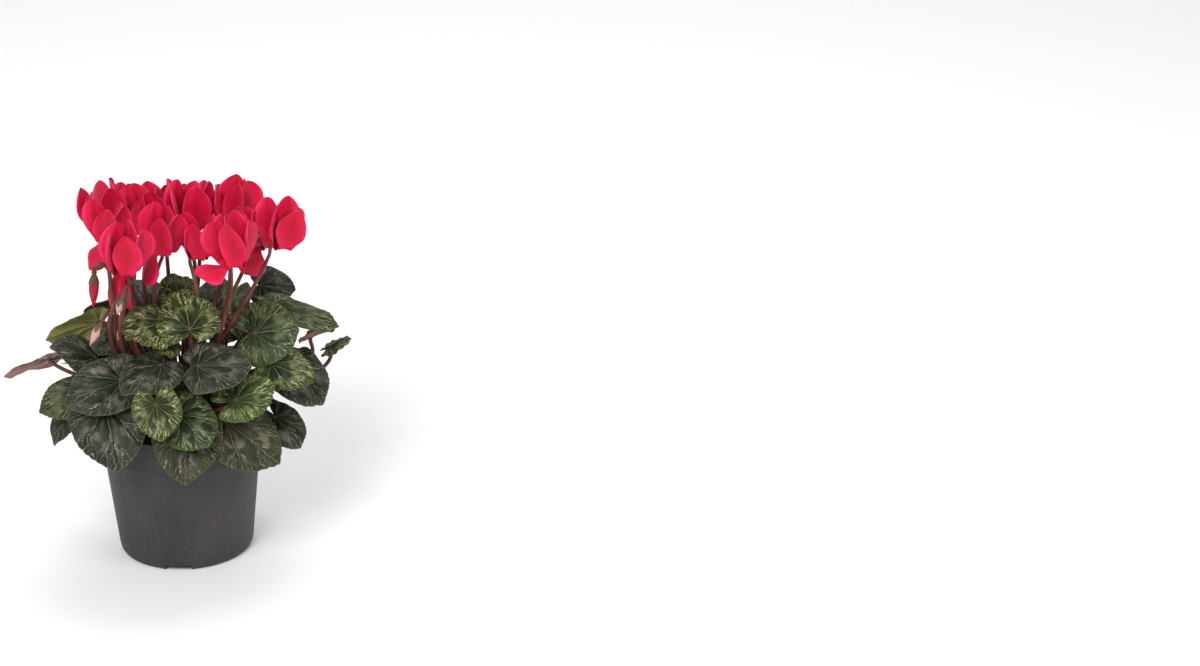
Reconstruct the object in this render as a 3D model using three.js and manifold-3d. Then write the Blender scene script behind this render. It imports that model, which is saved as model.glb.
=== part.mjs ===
// A potted cyclamen in flower: the nursery pot, the soil, the corm with every stalk that
// grows from it, the leaf blades, the blooms and the buds.
// Millimetres, +Z up, the front of the plant towards -Y. The origin is the middle of the
// pot's underside.

import * as THREE from 'three';
import { mergeVertices } from 'three/addons/utils/BufferGeometryUtils.js';
import Module from 'manifold-3d';

const wasm = await Module();
wasm.setup();

const CLEAR = 0.3; // gap between pieces that touch
const OVERCUT = 0.001; // how far a cut runs past a face that it should share
const FULL_TURN = 2 * Math.PI;

// The nursery pot: 105 mm across the rim, 94 mm tall
const POT = {
  height: 94, rimRadius: 52.5, baseRadius: 43.6, wall: 1.3, sides: 32,
  collarFoot: 72, collarStep: 0.8, waistRadius: 51.2, cornerRadius: 3,
  floor: 1.6, channelDepth: 3.4, channelWall: 1.4,
  ringInner: 15, ringOuter: 22, channelWidth: 17, channels: 4, firstChannel: -99,
  holeRadius: 3, holeSides: 8, holes: 4,
};

// The soil fills the pot to a finger's breadth below the rim
const SOIL = {
  top: 83, bump: 1.1, sides: 18, inset: 0.4, corner: 3, shoulder: 4, boreSides: 18,
  crown: 1, rings: [[1, -1], [0.8, 0], [0.62, 0.6], [0.45, 1]],
};

// The corm sits half in the soil, in a plain round hole. The profile is its radius and height,
// and the shoulder is where its top begins to fall off.
const CORM = {
  radius: 19, bottom: 64, top: 90, sides: 12,
  profile: [[0, 64], [11.4, 64], [19, 74], [19, 81], [15.2, 87], [8.5, 90], [0, 90]],
  shoulder: 8.5, slope: 0.4,
};

// Leaf blades, true to the plant's front: where the stalk meets the blade, the tip, the way
// the upper face looks, the width against the usual width, then how the blade is shaped
const BLADES = [
  { at: [-47, -46, 124], tip: [-42, -70, 86], face: [-0.1, -0.8, 0.6], wide: 0.8, lobe: 0.5 },
  { at: [4, -52, 112], tip: [1, -76, 78], face: [-0.1, -0.8, 0.6], wide: 0.82, lobe: 0.4 },
  { at: [28, -48, 108], tip: [62, -62, 81], face: [0.2, -0.75, 0.6], wide: 0.76, lobe: 0.4 },
  { at: [-15, -73.5, 134], tip: [-12, -88, 114], face: [0, -0.7, 0.7], wide: 0.9, cleft: 0.45 },
  { at: [-1, -61, 120], tip: [17, -78, 104], face: [0.1, -0.7, 0.7], wide: 1 },
  { at: [-10, -42, 147], tip: [-35, -66, 139], face: [-0.15, -0.55, 0.82], wide: 0.76, lobe: 0.5, cup: 0.25 },
  { at: [12, -50, 148], tip: [48, -53, 147], face: [-0.1, -0.5, 0.85], wide: 0.8, lobe: 0.5 },
  { at: [9, -33, 166], tip: [6, -6, 184], face: [0, -0.6, 0.8], wide: 0.9, lobe: 0.5, wave: 0.06 },
  { at: [-7, -19, 168], tip: [-31, -40, 165], face: [0, -0.6, 0.8], wide: 0.85, lobe: 0.3, wave: 0.05 },
  { at: [4, 4, 175], tip: [0, 22, 183], face: [0, -0.5, 0.85], wide: 1 },
  { at: [50, -16, 154], tip: [80, -20, 157], face: [0.1, -0.75, 0.6], wide: 1.05, lobe: 0.8 },
  { at: [60, -26, 136], tip: [86, -39, 128], face: [0.1, -0.7, 0.7], wide: 0.8, lobe: 0.6, wave: 0.06 },
  { at: [68, -2, 128], tip: [92, -30, 108], face: [0.3, -0.6, 0.7], wide: 0.8, lobe: 0.3 },
  { at: [35, -55, 125], tip: [61, -50, 132], face: [0, -0.7, 0.7], wide: 0.84 },
  { at: [61, -27, 99], tip: [76, -46, 84], face: [0.4, -0.6, 0.6], wide: 0.85 },
  { at: [-35, -40, 137], tip: [-73, -52, 128], face: [-0.15, -0.7, 0.7], wide: 0.72, lobe: 0.7, cup: 0 },
  { at: [-52, -15, 143], tip: [-79, -25, 156], face: [-0.1, -0.5, 0.9], wide: 0.75 },
  { at: [-39, 0, 152], tip: [-50, -20, 146], face: [0, -0.7, 0.7], wide: 0.8 },
  { at: [-50, 25, 151], tip: [-84, 5, 149], face: [-0.1, 0.9, 0.35], wide: 0.5, lobe: 0.5 },
  { at: [-63, -20, 122], tip: [-90, -27, 112], face: [-0.2, -0.6, 0.7], wide: 0.75 },
  { at: [-82, 10, 133], tip: [-111, 0, 127], face: [0, 0.7, 0.75], wide: 0.5 },
  { at: [-72, -5, 104], tip: [-83, -15, 81], face: [-0.7, -0.5, 0.2], wide: 0.6 },
  { at: [-39, 35, 160], tip: [-59, 25, 159], face: [0, 0.7, 0.7], wide: 0.9 },
  { at: [62, 18, 158], tip: [106, 8, 146], face: [0.1, -0.3, 1], wide: 0.5, lobe: 0.5 },
  { at: [57, 41, 164], tip: [80, 38, 161], face: [0, -0.75, 0.65], wide: 0.9, lobe: 0.6 },
  { at: [87, 14, 136], tip: [104, 10, 143], face: [-0.1, 0.2, 0.95], wide: 0.9, lobe: 0.7, cup: -0.6 },
  { at: [101, 30, 121], tip: [115, 30, 127], face: [0, -0.1, 1], wide: 0.8 },
  { at: [40, 4, 156], tip: [32, 10, 180], face: [0.7, -0.5, 0.2], wide: 0.4, lobe: 0.6 },
];

// Leaf blades at the back, in tiers round the axis: the first heading and the step between
// blades in degrees, the stalk's end, and where the tip lies from there. The upper ones rise.
const BACK_TIERS = [
  { count: 5, first: 37, step: 29, radius: 51, height: 116, reach: 31, drop: 17, lobe: 0.45 },
  { count: 4, first: 40, step: 24, radius: 41, height: 150, reach: 28, drop: -15, lobe: 0.5 },
];
const BACK = { wide: 0.82, wave: 0.03, scatter: 2, swing: 0.12, roll: 0.32 };

// How a blade is shaped unless its row says otherwise: the sag along it, the fall of its
// sides, and the height, turn and number of the waves in its edge, all against its length
const BLADE = {
  bend: 0.12, cup: 0.15, wave: 0.035, turn: 0, waves: 5, wide: 1, lobe: 1, cleft: 0.28, thick: 0.7,
  rim: 16, ring: 0.55,
};
const CRENATION = 0.025;

// The blade's outline, as reach from the stalk's end: a round body, drawn out to the front
// and to a tip, with a notch behind
const OUTLINE = { round: 0.6, front: 0.27, tip: 0.13, tipSpread: 0.25, notch: 0.95 };

// Blooms: the middle of the mouth, the lean of the axis to +X and +Y in degrees, the heading
// of the first petal, and a petal that hangs instead of sweeping up: which one, its sweep in
// degrees and its share of the usual length
const BLOOMS = [
  { mouth: [-41, 18, 220], lean: [-7, 0], spin: 20 },
  { mouth: [-35, 44, 209], lean: [1, 3], spin: 75 },
  { mouth: [-40, -12, 221], lean: [3, 0], spin: 50, size: 0.9, hang: [2, 20, 0.64] },
  { mouth: [-30, -37, 211], lean: [2, -4], spin: 62 },
  { mouth: [-14, 20, 215], lean: [-3, 2], spin: 95 },
  { mouth: [-6, -12, 213], lean: [0, -1], spin: 54, hang: [2, 30, 0.66] },
  { mouth: [-5, 49, 207], lean: [-2, 4], spin: 30 },
  { mouth: [12, 23, 216], lean: [1, 2], spin: 10 },
  { mouth: [20, 53, 204], lean: [0, 4], spin: 80 },
  { mouth: [17.5, -5, 206], lean: [3, -2], spin: 50, size: 0.88 },
  { mouth: [38, -40, 214], lean: [-2, -4], spin: 66, hang: [2, 96, 0.72] },
  { mouth: [43, 38, 211], lean: [3, 4], spin: 40 },
  { mouth: [43, -11, 208], lean: [-1, 0], spin: 70, size: 0.93 },
  { mouth: [56, 13, 203], lean: [-1, 1], spin: 36, size: 0.95, hang: [3, 60, 0.7] },
  { mouth: [70, -11, 213], lean: [7, -1], spin: 70 },
];

// The half-open flower still points its petals down
const OPENING = {
  mouth: [-32, -17, 204], lean: [3, -4], spin: 70, size: 0.78, sweep: 14, slim: 0.7, flare: 0.0015,
  hook: 2.2,
};

// Buds: the calyx, the tip, the widest radius, and the heading of the stalk's hook
const BUDS = [
  { calyx: [-49, -24, 205], tip: [-51, -24, 180], radius: 3.2, hook: 0, rise: 5 },
  { calyx: [-32, -47, 196], tip: [-36, -48, 185], radius: 2.6, hook: 50, rise: 2 },
  { calyx: [-46, -26, 172], tip: [-55, -30, 157], radius: 2.9, hook: 20, rise: 3.5 },
  { calyx: [-33, -24, 168], tip: [-37, -28, 159], radius: 2.2, hook: 40, rise: 3 },
];

// A petal: its length and half width, where it leaves the mouth, the curl that sweeps it
// back, the pinwheel twist, and the trough down its middle
const PETAL = {
  count: 5, length: 34, halfWidth: 9, baseWidth: 0.28, rootRadius: 4.1, rootHeight: 0.7,
  curl: 2.1, sweep: 176, flare: -0.0008, twist: 27, twistedBy: 0.5, trough: 0.8, thick: 0.7,
  stations: [0, 0.17, 0.58, 0.95], narrow: 0.08, widest: 0.6, roundness: 2.2, fullness: 0.72,
};

// The cup that the petals grow from, radius and height from the mouth
const CUP = [[0, 7], [3.4, 4.6], [3.5, 0], [4.8, 0], [5.3, 3.8], [0, 8.6]];
const CUP_SIDES = 6;

// The hook that turns a flower stalk over, from beside the bloom to the top of its cup
const HOOK = [[6.9, -8], [6.8, 1], [6.3, 9], [3.6, 13.4], [1.2, 12.8]];

// A bud's spindle: where its rings lie from the calyx to the tip, and how blunt and full it is
const SPINDLE = { stations: [0, 0.08, 0.25, 0.45, 0.65, 0.85, 1], blunt: 0.02, fullness: 0.8 };

// The hook of a bud's stalk: the neck above the calyx, then shares of the bud's rise
const BUD_HOOK = { neck: 2.4, crestUp: 0.6, crestOut: 0.7, over: 1.7, down: 1.6, downOut: 0.2, flare: 0.75 };

// Stalks: their radii, the rings on the corm that they root on, and the bows and leans that
// are tried until one has enough room to everything else
const STALK = {
  sides: 4, leafSides: 3, leafRoot: 1.7, leafEnd: 1.2, bloomRoot: 2.1, bloomEnd: 1.15, steps: 5, probe: 1.5,
  leafRings: [16, 12.6], bloomRings: [9.2, 5], sink: 3, fan: 0.5, room: 0.12,
  outward: 0.35, leave: 0.38, arrive: 0.33, upperBow: 0.6,
  bows: [0, 4, 8, 12, 17, 23, 30, 38], headings: 12,
  seat: 0.4, neck: 3, tuck: 0.6, rise: 0.8, approaches: [0.5, 0.1, 0.9],
  lean: 0.5, leans: 8, calyx: 2.3, calyxLength: 2.4,
};

const vec = (x, y, z) => new THREE.Vector3(x, y, z);
const from = ([x, y, z]) => vec(x, y, z);
const radians = THREE.MathUtils.degToRad;
const clamp = THREE.MathUtils.clamp;
const polar = (radius, angle, z) => vec(radius * Math.cos(angle), radius * Math.sin(angle), z);

// A fixed scatter between -1 and 1 for the k-th thing, the same on every run
function scatter(k, salt) {
  const value = Math.sin(k * 12.9898 + salt * 78.233) * 43758.5453;
  return 2 * (value - Math.floor(value)) - 1;
}

// Solids: meshes made into exact solids, joined and cut, and made meshes again

function solidOf(geometry) {
  const bare = geometry.clone();
  bare.deleteAttribute('normal');
  bare.deleteAttribute('uv');
  const merged = mergeVertices(bare, 1e-4);
  return new wasm.Manifold(new wasm.Mesh({
    numProp: 3,
    vertProperties: Float32Array.from(merged.attributes.position.array),
    triVerts: Uint32Array.from(merged.index.array),
  }));
}

function geometryOf(solid) {
  const mesh = solid.getMesh();
  const geometry = new THREE.BufferGeometry();
  geometry.setAttribute('position', new THREE.BufferAttribute(Float32Array.from(mesh.vertProperties), 3));
  geometry.setIndex(Array.from(mesh.triVerts));
  geometry.computeVertexNormals();
  return geometry;
}

function shellOf(points, triangles) {
  const geometry = new THREE.BufferGeometry().setFromPoints(points);
  geometry.setIndex(triangles.flat());
  geometry.computeVertexNormals();
  return geometry;
}

// A thin sheet of even thickness. Both faces are split into the same triangles, so a waved
// sheet never crosses itself. The rim runs anticlockwise seen from the upper face.
function sheet(points, triangles, rim, thickness) {
  const half = thickness.map((offset) => offset.clone().multiplyScalar(0.5));
  const upper = points.map((point, i) => point.clone().add(half[i]));
  const lower = points.map((point, i) => point.clone().sub(half[i]));
  const under = points.length;
  const faces = [...triangles, ...triangles.map(([a, b, c]) => [a + under, c + under, b + under])];
  rim.forEach((a, i) => {
    const b = rim[(i + 1) % rim.length];
    faces.push([a, a + under, b + under], [a, b + under, b]);
  });
  return shellOf([...upper, ...lower], faces);
}

// A closed tube with its own radius at each point of its route
function tube(route, radii, sides) {
  const tangents = route.map((point, i) => {
    const before = route[Math.max(i - 1, 0)];
    const after = route[Math.min(i + 1, route.length - 1)];
    return after.clone().sub(before).normalize();
  });
  const across = vec(1, 0.3, 0);
  const points = [];
  route.forEach((point, i) => {
    across.addScaledVector(tangents[i], -across.dot(tangents[i])).normalize();
    const up = tangents[i].clone().cross(across);
    for (let side = 0; side < sides; side += 1) {
      const angle = (side / sides) * FULL_TURN;
      points.push(point.clone()
        .addScaledVector(across, radii[i] * Math.cos(angle))
        .addScaledVector(up, radii[i] * Math.sin(angle)));
    }
  });
  const faces = [];
  for (let ring = 0; ring < route.length - 1; ring += 1) {
    for (let side = 0; side < sides; side += 1) {
      const a = ring * sides + side;
      const b = ring * sides + ((side + 1) % sides);
      faces.push([a, b, b + sides], [a, b + sides, a + sides]);
    }
  }
  const last = (route.length - 1) * sides;
  for (let side = 1; side < sides - 1; side += 1) {
    faces.push([0, side + 1, side], [last, last + side, last + side + 1]);
  }
  return shellOf(points, faces);
}

// A turned solid along an axis from a foot point; the profile is radius and height
function turned(profile, sides, foot, axis) {
  const geometry = new THREE.LatheGeometry(profile.map(([r, z]) => new THREE.Vector2(r, z)), sides);
  const turn = new THREE.Quaternion().setFromUnitVectors(vec(0, 1, 0), axis.clone().normalize());
  geometry.applyQuaternion(turn);
  geometry.translate(foot.x, foot.y, foot.z);
  return geometryOf(solidOf(geometry));
}

const UP = vec(0, 0, 1);

// The pot: a tapered wall with a collar, and a floor that stands on its raised drain channels

function wallRadius(z) {
  const { baseRadius, waistRadius, collarFoot, collarStep, rimRadius, height } = POT;
  if (z <= collarFoot) return THREE.MathUtils.mapLinear(z, 0, collarFoot, baseRadius, waistRadius);
  return THREE.MathUtils.mapLinear(z, collarFoot, height, waistRadius + collarStep, rimRadius);
}

function channelBoxes(width, height) {
  const reach = POT.baseRadius + 2 * POT.wall - POT.ringInner;
  const boxes = [];
  for (let i = 0; i < POT.channels; i += 1) {
    const box = new THREE.BoxGeometry(reach, width, height);
    box.translate(POT.ringInner + 1 + reach / 2, 0, height / 2);
    box.rotateZ((i / POT.channels) * FULL_TURN + radians(POT.firstChannel));
    boxes.push(solidOf(box));
  }
  return boxes;
}

function potGeometry() {
  const { height, wall, sides, collarFoot, collarStep, waistRadius, cornerRadius, baseRadius } = POT;
  const outside = [[0, 0], [baseRadius - cornerRadius, 0]];
  for (const angle of [45, 90]) {
    outside.push([
      baseRadius - cornerRadius * (1 - Math.sin(radians(angle))),
      cornerRadius * (1 - Math.cos(radians(angle))),
    ]);
  }
  outside.push([waistRadius, collarFoot], [waistRadius + collarStep, collarFoot + collarStep]);
  outside.push([wallRadius(height), height], [0, height]);
  const inside = [
    [0, POT.floor], [baseRadius - cornerRadius - wall, POT.floor],
    [wallRadius(cornerRadius) - wall, cornerRadius + wall],
    [waistRadius - wall, collarFoot - wall], [waistRadius - wall + collarStep, collarFoot + collarStep],
    [POT.rimRadius - wall, height + 1], [0, height + 1],
  ];
  const body = solidOf(turned(outside, sides, vec(0, 0, 0), UP));
  const hollow = solidOf(turned(inside, sides, vec(0, 0, 0), UP));
  const ringProfile = (inner, outer, top) => (
    [[inner, -1], [outer, -1], [outer, top], [inner, top], [inner, -1]]);
  const { ringInner, ringOuter, channelDepth, channelWall, channelWidth } = POT;
  const ridgeTop = channelDepth + channelWall;
  let ridges = solidOf(turned(
    ringProfile(ringInner - channelWall, ringOuter + channelWall, ridgeTop), sides, vec(0, 0, 0), UP,
  ));
  for (const box of channelBoxes(channelWidth + 2 * channelWall, ridgeTop)) ridges = ridges.add(box);
  let pot = body.subtract(hollow).add(ridges.intersect(body));
  pot = pot.subtract(solidOf(turned(
    ringProfile(ringInner, ringOuter, channelDepth), sides, vec(0, 0, 0), UP,
  )));
  for (const box of channelBoxes(channelWidth, channelDepth)) {
    pot = pot.subtract(box.translate([0, 0, -OVERCUT]));
  }
  for (let i = 0; i < POT.holes; i += 1) {
    const hole = new THREE.CylinderGeometry(POT.holeRadius, POT.holeRadius, height, POT.holeSides);
    hole.rotateX(Math.PI / 2);
    const turn = ((i + 0.5) / POT.holes) * FULL_TURN + radians(POT.firstChannel);
    const centre = polar((ringInner + ringOuter) / 2, turn, 0);
    hole.translate(centre.x, centre.y, 0);
    pot = pot.subtract(solidOf(hole));
  }
  return geometryOf(pot);
}

// The soil: a plug that follows the pot's inside, with a lumpy top and a hole for the corm

function soilGeometry() {
  const bottom = POT.channelDepth + POT.channelWall + CLEAR;
  const shoulder = POT.collarFoot - SOIL.shoulder;
  const inside = (z) => wallRadius(Math.min(z, POT.collarFoot)) - POT.wall - CLEAR - SOIL.inset;
  const points = [];
  const n = SOIL.sides;
  const angleOf = (side) => (side / n) * FULL_TURN;
  for (const [radius, z] of [[inside(bottom) - SOIL.corner, bottom], [inside(shoulder), shoulder]]) {
    for (let side = 0; side < n; side += 1) points.push(polar(radius, angleOf(side), z));
  }
  SOIL.rings.forEach(([share, height], ring) => {
    const radius = inside(POT.collarFoot) * share;
    for (let side = 0; side < n; side += 1) {
      const lump = SOIL.bump * scatter(side, ring);
      points.push(polar(radius, angleOf(side), SOIL.top + height + lump));
    }
  });
  const faces = [];
  const rows = points.length / n;
  for (let row = 0; row < rows - 1; row += 1) {
    for (let side = 0; side < n; side += 1) {
      const a = row * n + side;
      const b = row * n + ((side + 1) % n);
      faces.push([a, b, b + n], [a, b + n, a + n]);
    }
  }
  const foot = points.push(vec(0, 0, bottom)) - 1;
  const crown = points.push(vec(0, 0, SOIL.top + SOIL.crown)) - 1;
  const last = (rows - 1) * n;
  for (let side = 0; side < n; side += 1) {
    const next = (side + 1) % n;
    faces.push([foot, next, side], [crown, last + side, last + next]);
  }
  const boreRadius = (CORM.radius + CLEAR) / Math.cos(Math.PI / SOIL.boreSides);
  const bore = new THREE.CylinderGeometry(boreRadius, boreRadius, POT.height, SOIL.boreSides);
  bore.rotateX(Math.PI / 2);
  bore.translate(0, 0, CORM.bottom - CLEAR + POT.height / 2);
  return geometryOf(solidOf(shellOf(points, faces)).subtract(solidOf(bore)));
}

// A leaf blade: a kidney-to-heart outline round the end of its stalk, with a deep notch
// behind it. Angle 0 is the way to the tip, and share runs from the stalk to the edge.

function bladeFrame(blade) {
  const at = from(blade.at);
  const along = from(blade.tip).sub(at);
  const length = along.length();
  along.normalize();
  const normal = from(blade.face);
  normal.addScaledVector(along, -normal.dot(along)).normalize();
  return { at, along, normal, side: normal.clone().cross(along), length };
}

function outline(angle, cleft) {
  const a = Math.abs(angle);
  const { round, front, tip, tipSpread, notch } = OUTLINE;
  const body = round + front * ((1 + Math.cos(a)) / 2) ** 2 + tip * Math.exp(-a / tipSpread);
  return body * (1 - notch * Math.exp(-(((Math.PI - a) / cleft) ** 2)));
}

function bladePoint(blade, frame, angle, share, tooth) {
  const shape = { ...BLADE, ...blade };
  const reach = outline(angle, shape.cleft) * share * (1 + tooth);
  const x = reach * Math.cos(angle) * (Math.cos(angle) < 0 ? shape.lobe : 1);
  const y = reach * Math.sin(angle) * shape.wide;
  const ripple = share ** 3 * Math.min(outline(angle, shape.cleft) / OUTLINE.round, 1);
  const z = shape.bend * (Math.max(x, 0) - x * x) - shape.cup * y * y
    + shape.wave * ripple * Math.sin(BLADE.waves * angle + shape.turn);
  return frame.at.clone()
    .addScaledVector(frame.along, frame.length * x)
    .addScaledVector(frame.side, frame.length * y)
    .addScaledVector(frame.normal, frame.length * z);
}

function bladeGeometry(blade) {
  const frame = bladeFrame(blade);
  const { rim, ring, thick } = BLADE;
  const inner = rim / 2;
  const points = [frame.at.clone()];
  for (let i = 0; i < inner; i += 1) {
    points.push(bladePoint(blade, frame, (i / inner) * FULL_TURN - Math.PI, ring, 0));
  }
  for (let i = 0; i < rim; i += 1) {
    const tooth = i % 2 ? -CRENATION : CRENATION;
    points.push(bladePoint(blade, frame, (i / rim) * FULL_TURN - Math.PI, 1, tooth));
  }
  const innerAt = (i) => 1 + (i % inner);
  const rimAt = (i) => 1 + inner + (i % rim);
  const faces = [];
  for (let i = 0; i < inner; i += 1) {
    faces.push([0, innerAt(i), innerAt(i + 1)]);
    faces.push([innerAt(i), rimAt(2 * i), rimAt(2 * i + 1)]);
    faces.push([innerAt(i), rimAt(2 * i + 1), innerAt(i + 1)]);
    faces.push([innerAt(i + 1), rimAt(2 * i + 1), rimAt(2 * i + 2)]);
  }
  const edge = Array.from({ length: rim }, (_, i) => rimAt(i));
  const offset = frame.normal.clone().multiplyScalar(thick);
  return sheet(points, faces, edge, points.map(() => offset));
}

function backBlades() {
  const blades = [];
  for (const tier of BACK_TIERS) {
    for (let k = 0; k < tier.count; k += 1) {
      const salt = tier.height;
      const heading = radians(tier.first + k * tier.step + BACK.scatter * scatter(k, salt));
      const height = tier.height + BACK.scatter * scatter(k, salt + 1);
      const at = polar(tier.radius, heading, height);
      const swing = heading + BACK.swing * scatter(k, salt + 2);
      const tip = polar(tier.radius + tier.reach, swing, height - tier.drop);
      const slope = tier.drop / tier.reach;
      blades.push({
        at: at.toArray(),
        tip: tip.toArray(),
        face: polar(slope, heading, 1).add(polar(BACK.roll, heading + Math.PI / 2, 0)).toArray(),
        wide: BACK.wide, lobe: tier.lobe, wave: BACK.wave, turn: 2 * scatter(k, salt + 3),
      });
    }
  }
  return blades;
}

// A bloom: a small cup that faces down, with five petals swept up from its mouth

function bloomFrame(bloom) {
  const [leanX, leanY] = bloom.lean;
  const up = vec(Math.tan(radians(leanX)), Math.tan(radians(leanY)), 1).normalize();
  const right = vec(1, 0, 0).addScaledVector(up, -up.x).normalize();
  return { mouth: from(bloom.mouth), up, right, back: up.clone().cross(right), size: bloom.size ?? 1 };
}

// A place in a bloom's own frame: out from its axis at an angle, and up along the axis
function bloomPlace(frame, out, angle, height) {
  return frame.mouth.clone()
    .addScaledVector(frame.right, frame.size * out * Math.cos(angle))
    .addScaledVector(frame.back, frame.size * out * Math.sin(angle))
    .addScaledVector(frame.up, frame.size * height);
}

// The middle line of a petal in radius and height, with the outward normal there
function petalLine(run, sweep, flare) {
  const turn = radians(sweep);
  const arc = PETAL.curl * turn;
  const angle = Math.min(run / PETAL.curl, turn);
  const beyond = Math.max(run - arc, 0);
  const lift = flare * beyond * beyond;
  const normal = [-Math.cos(angle), -Math.sin(angle)];
  return {
    out: PETAL.rootRadius + PETAL.curl * (1 - Math.cos(angle)) + beyond * Math.sin(angle) + lift * normal[0],
    height: PETAL.rootHeight - PETAL.curl * Math.sin(angle) - beyond * Math.cos(angle) + lift * normal[1],
    normal,
  };
}

function petalWidth(share) {
  const { narrow, widest, baseWidth, roundness, fullness } = PETAL;
  const rise = Math.sin((Math.PI / 2) * clamp((share - narrow) / (widest - narrow), 0, 1)) ** 2;
  const round = Math.max((share - widest) / (1 - widest), 0);
  return (baseWidth + (1 - baseWidth) * rise) * (1 - round ** roundness) ** fullness;
}

function petalPoint(frame, petal, share, across) {
  const line = petalLine(petal.length * share, petal.sweep, petal.flare);
  const width = PETAL.halfWidth * petal.slim * petalWidth(share) * across;
  const twist = radians(PETAL.twist) * clamp(share / PETAL.twistedBy, 0, 1);
  const lift = width * Math.sin(twist) + PETAL.trough * petalWidth(share) * (across * across - 0.5);
  const around = width * Math.cos(twist);
  const [outwards, upwards] = line.normal;
  const middle = bloomPlace(frame, line.out + lift * outwards, petal.angle, line.height + lift * upwards);
  const tangent = bloomPlace(frame, 1, petal.angle + Math.PI / 2, 0).sub(frame.mouth);
  return middle.addScaledVector(tangent, around);
}

function petalsOf(bloom) {
  return Array.from({ length: PETAL.count }, (_, i) => ({
    angle: radians(bloom.spin) + (i / PETAL.count) * FULL_TURN,
    sweep: bloom.hang?.[0] === i ? bloom.hang[1] : (bloom.sweep ?? PETAL.sweep),
    length: PETAL.length * (bloom.hang?.[0] === i ? bloom.hang[2] : 1),
    slim: bloom.slim ?? 1,
    flare: bloom.flare ?? PETAL.flare,
  }));
}

function petalGeometry(frame, petal) {
  const rows = PETAL.stations;
  const points = [];
  const thickness = [];
  for (const share of rows) {
    const { normal } = petalLine(petal.length * share, petal.sweep, petal.flare);
    const outward = bloomPlace(frame, normal[0], petal.angle, normal[1]).sub(frame.mouth);
    for (const across of [-1, 0, 1]) {
      points.push(petalPoint(frame, petal, share, across));
      thickness.push(outward.clone().normalize().multiplyScalar(PETAL.thick));
    }
  }
  const faces = [];
  for (let row = 0; row < rows.length - 1; row += 1) {
    for (const col of [0, 1]) {
      const a = 3 * row + col;
      faces.push([a, a + 1, a + 4], [a, a + 4, a + 3]);
    }
  }
  const last = 3 * (rows.length - 1);
  const rim = [0, 1];
  for (let row = 0; row < rows.length; row += 1) rim.push(3 * row + 2);
  rim.push(last + 1);
  for (let row = rows.length - 1; row > 0; row -= 1) rim.push(3 * row);
  return sheet(points, faces, rim, thickness);
}

function bloomGeometry(bloom) {
  const frame = bloomFrame(bloom);
  const profile = CUP.map(([r, z]) => [r * frame.size, z * frame.size]);
  let solid = solidOf(turned(profile, CUP_SIDES, frame.mouth, frame.up));
  for (const petal of petalsOf(bloom)) solid = solid.add(solidOf(petalGeometry(frame, petal)));
  return geometryOf(solid);
}

// A bud: a closed spindle that hangs from its calyx

function budAxis(bud) {
  return from(bud.tip).sub(from(bud.calyx)).normalize();
}

function budGeometry(bud) {
  const length = from(bud.tip).distanceTo(from(bud.calyx));
  const profile = SPINDLE.stations.map((share) => [
    bud.radius * Math.sin(Math.PI * Math.min(share + SPINDLE.blunt, 1) ** SPINDLE.fullness), share * length,
  ]);
  profile[0][0] = 0;
  profile[profile.length - 1][0] = 0;
  return turned(profile, CUP_SIDES, from(bud.calyx), budAxis(bud));
}

// Stalks. Each starts on the corm, below where it is going, and takes the first bow on which
// it stays clear of every blade, bloom and bud.

const SLIVER = 1e-6; // the least area of a triangle that counts

function obstacle(geometry) {
  const position = geometry.attributes.position;
  const index = geometry.index.array;
  const corner = (i) => new THREE.Vector3().fromBufferAttribute(position, index[i]);
  const triangles = [];
  for (let i = 0; i < index.length; i += 3) {
    const triangle = new THREE.Triangle(corner(i), corner(i + 1), corner(i + 2));
    if (triangle.getArea() > SLIVER) triangles.push(triangle);
  }
  return { triangles, box: new THREE.Box3().setFromBufferAttribute(position) };
}

const nearest = new THREE.Vector3();

// How far the route's outside stays from the obstacles, at the closest
function clearance(route, radius, obstacles) {
  let least = Infinity;
  for (let i = 0; i < route.length - 1; i += 1) {
    const count = Math.ceil(route[i].distanceTo(route[i + 1]) / STALK.probe);
    for (let k = 0; k < count; k += 1) {
      const point = route[i].clone().lerp(route[i + 1], k / count);
      for (const { triangles, box } of obstacles) {
        if (box.distanceToPoint(point) > least + radius) continue;
        for (const triangle of triangles) {
          triangle.closestPointToPoint(point, nearest);
          least = Math.min(least, nearest.distanceTo(point) - radius);
        }
      }
      if (least < 0) return least;
    }
  }
  return least;
}

// Roots fan out over the corm, in the order of the headings that the stalks end at
function rootsUnder(ends, rings) {
  const headings = ends.map((end) => Math.atan2(end.y, end.x));
  const order = headings.map((_, i) => i).sort((a, b) => headings[a] - headings[b]);
  const roots = [];
  order.forEach((i, rank) => {
    const even = ((rank + 0.5) / ends.length) * FULL_TURN - Math.PI;
    const heading = THREE.MathUtils.lerp(headings[i], even, STALK.fan);
    const radius = rings[rank % rings.length];
    const fall = CORM.slope * Math.max(radius - CORM.shoulder, 0);
    roots[i] = polar(radius, heading, CORM.top - STALK.sink - fall);
  });
  return roots;
}

// The free part of a stalk: a bowed curve from the corm to the point where its end begins
function bowedRoute(root, end, arrival, bow, heading) {
  const span = root.distanceTo(end);
  const outward = end.clone().setZ(0).multiplyScalar(STALK.outward / span).add(UP).normalize();
  const aside = polar(bow, heading, 0);
  const first = root.clone().addScaledVector(outward, STALK.leave * span).add(aside);
  const second = end.clone().addScaledVector(arrival, -STALK.arrive * span)
    .addScaledVector(aside, STALK.upperBow);
  return new THREE.CubicBezierCurve3(root, first, second, end).getPoints(STALK.steps);
}

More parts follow.
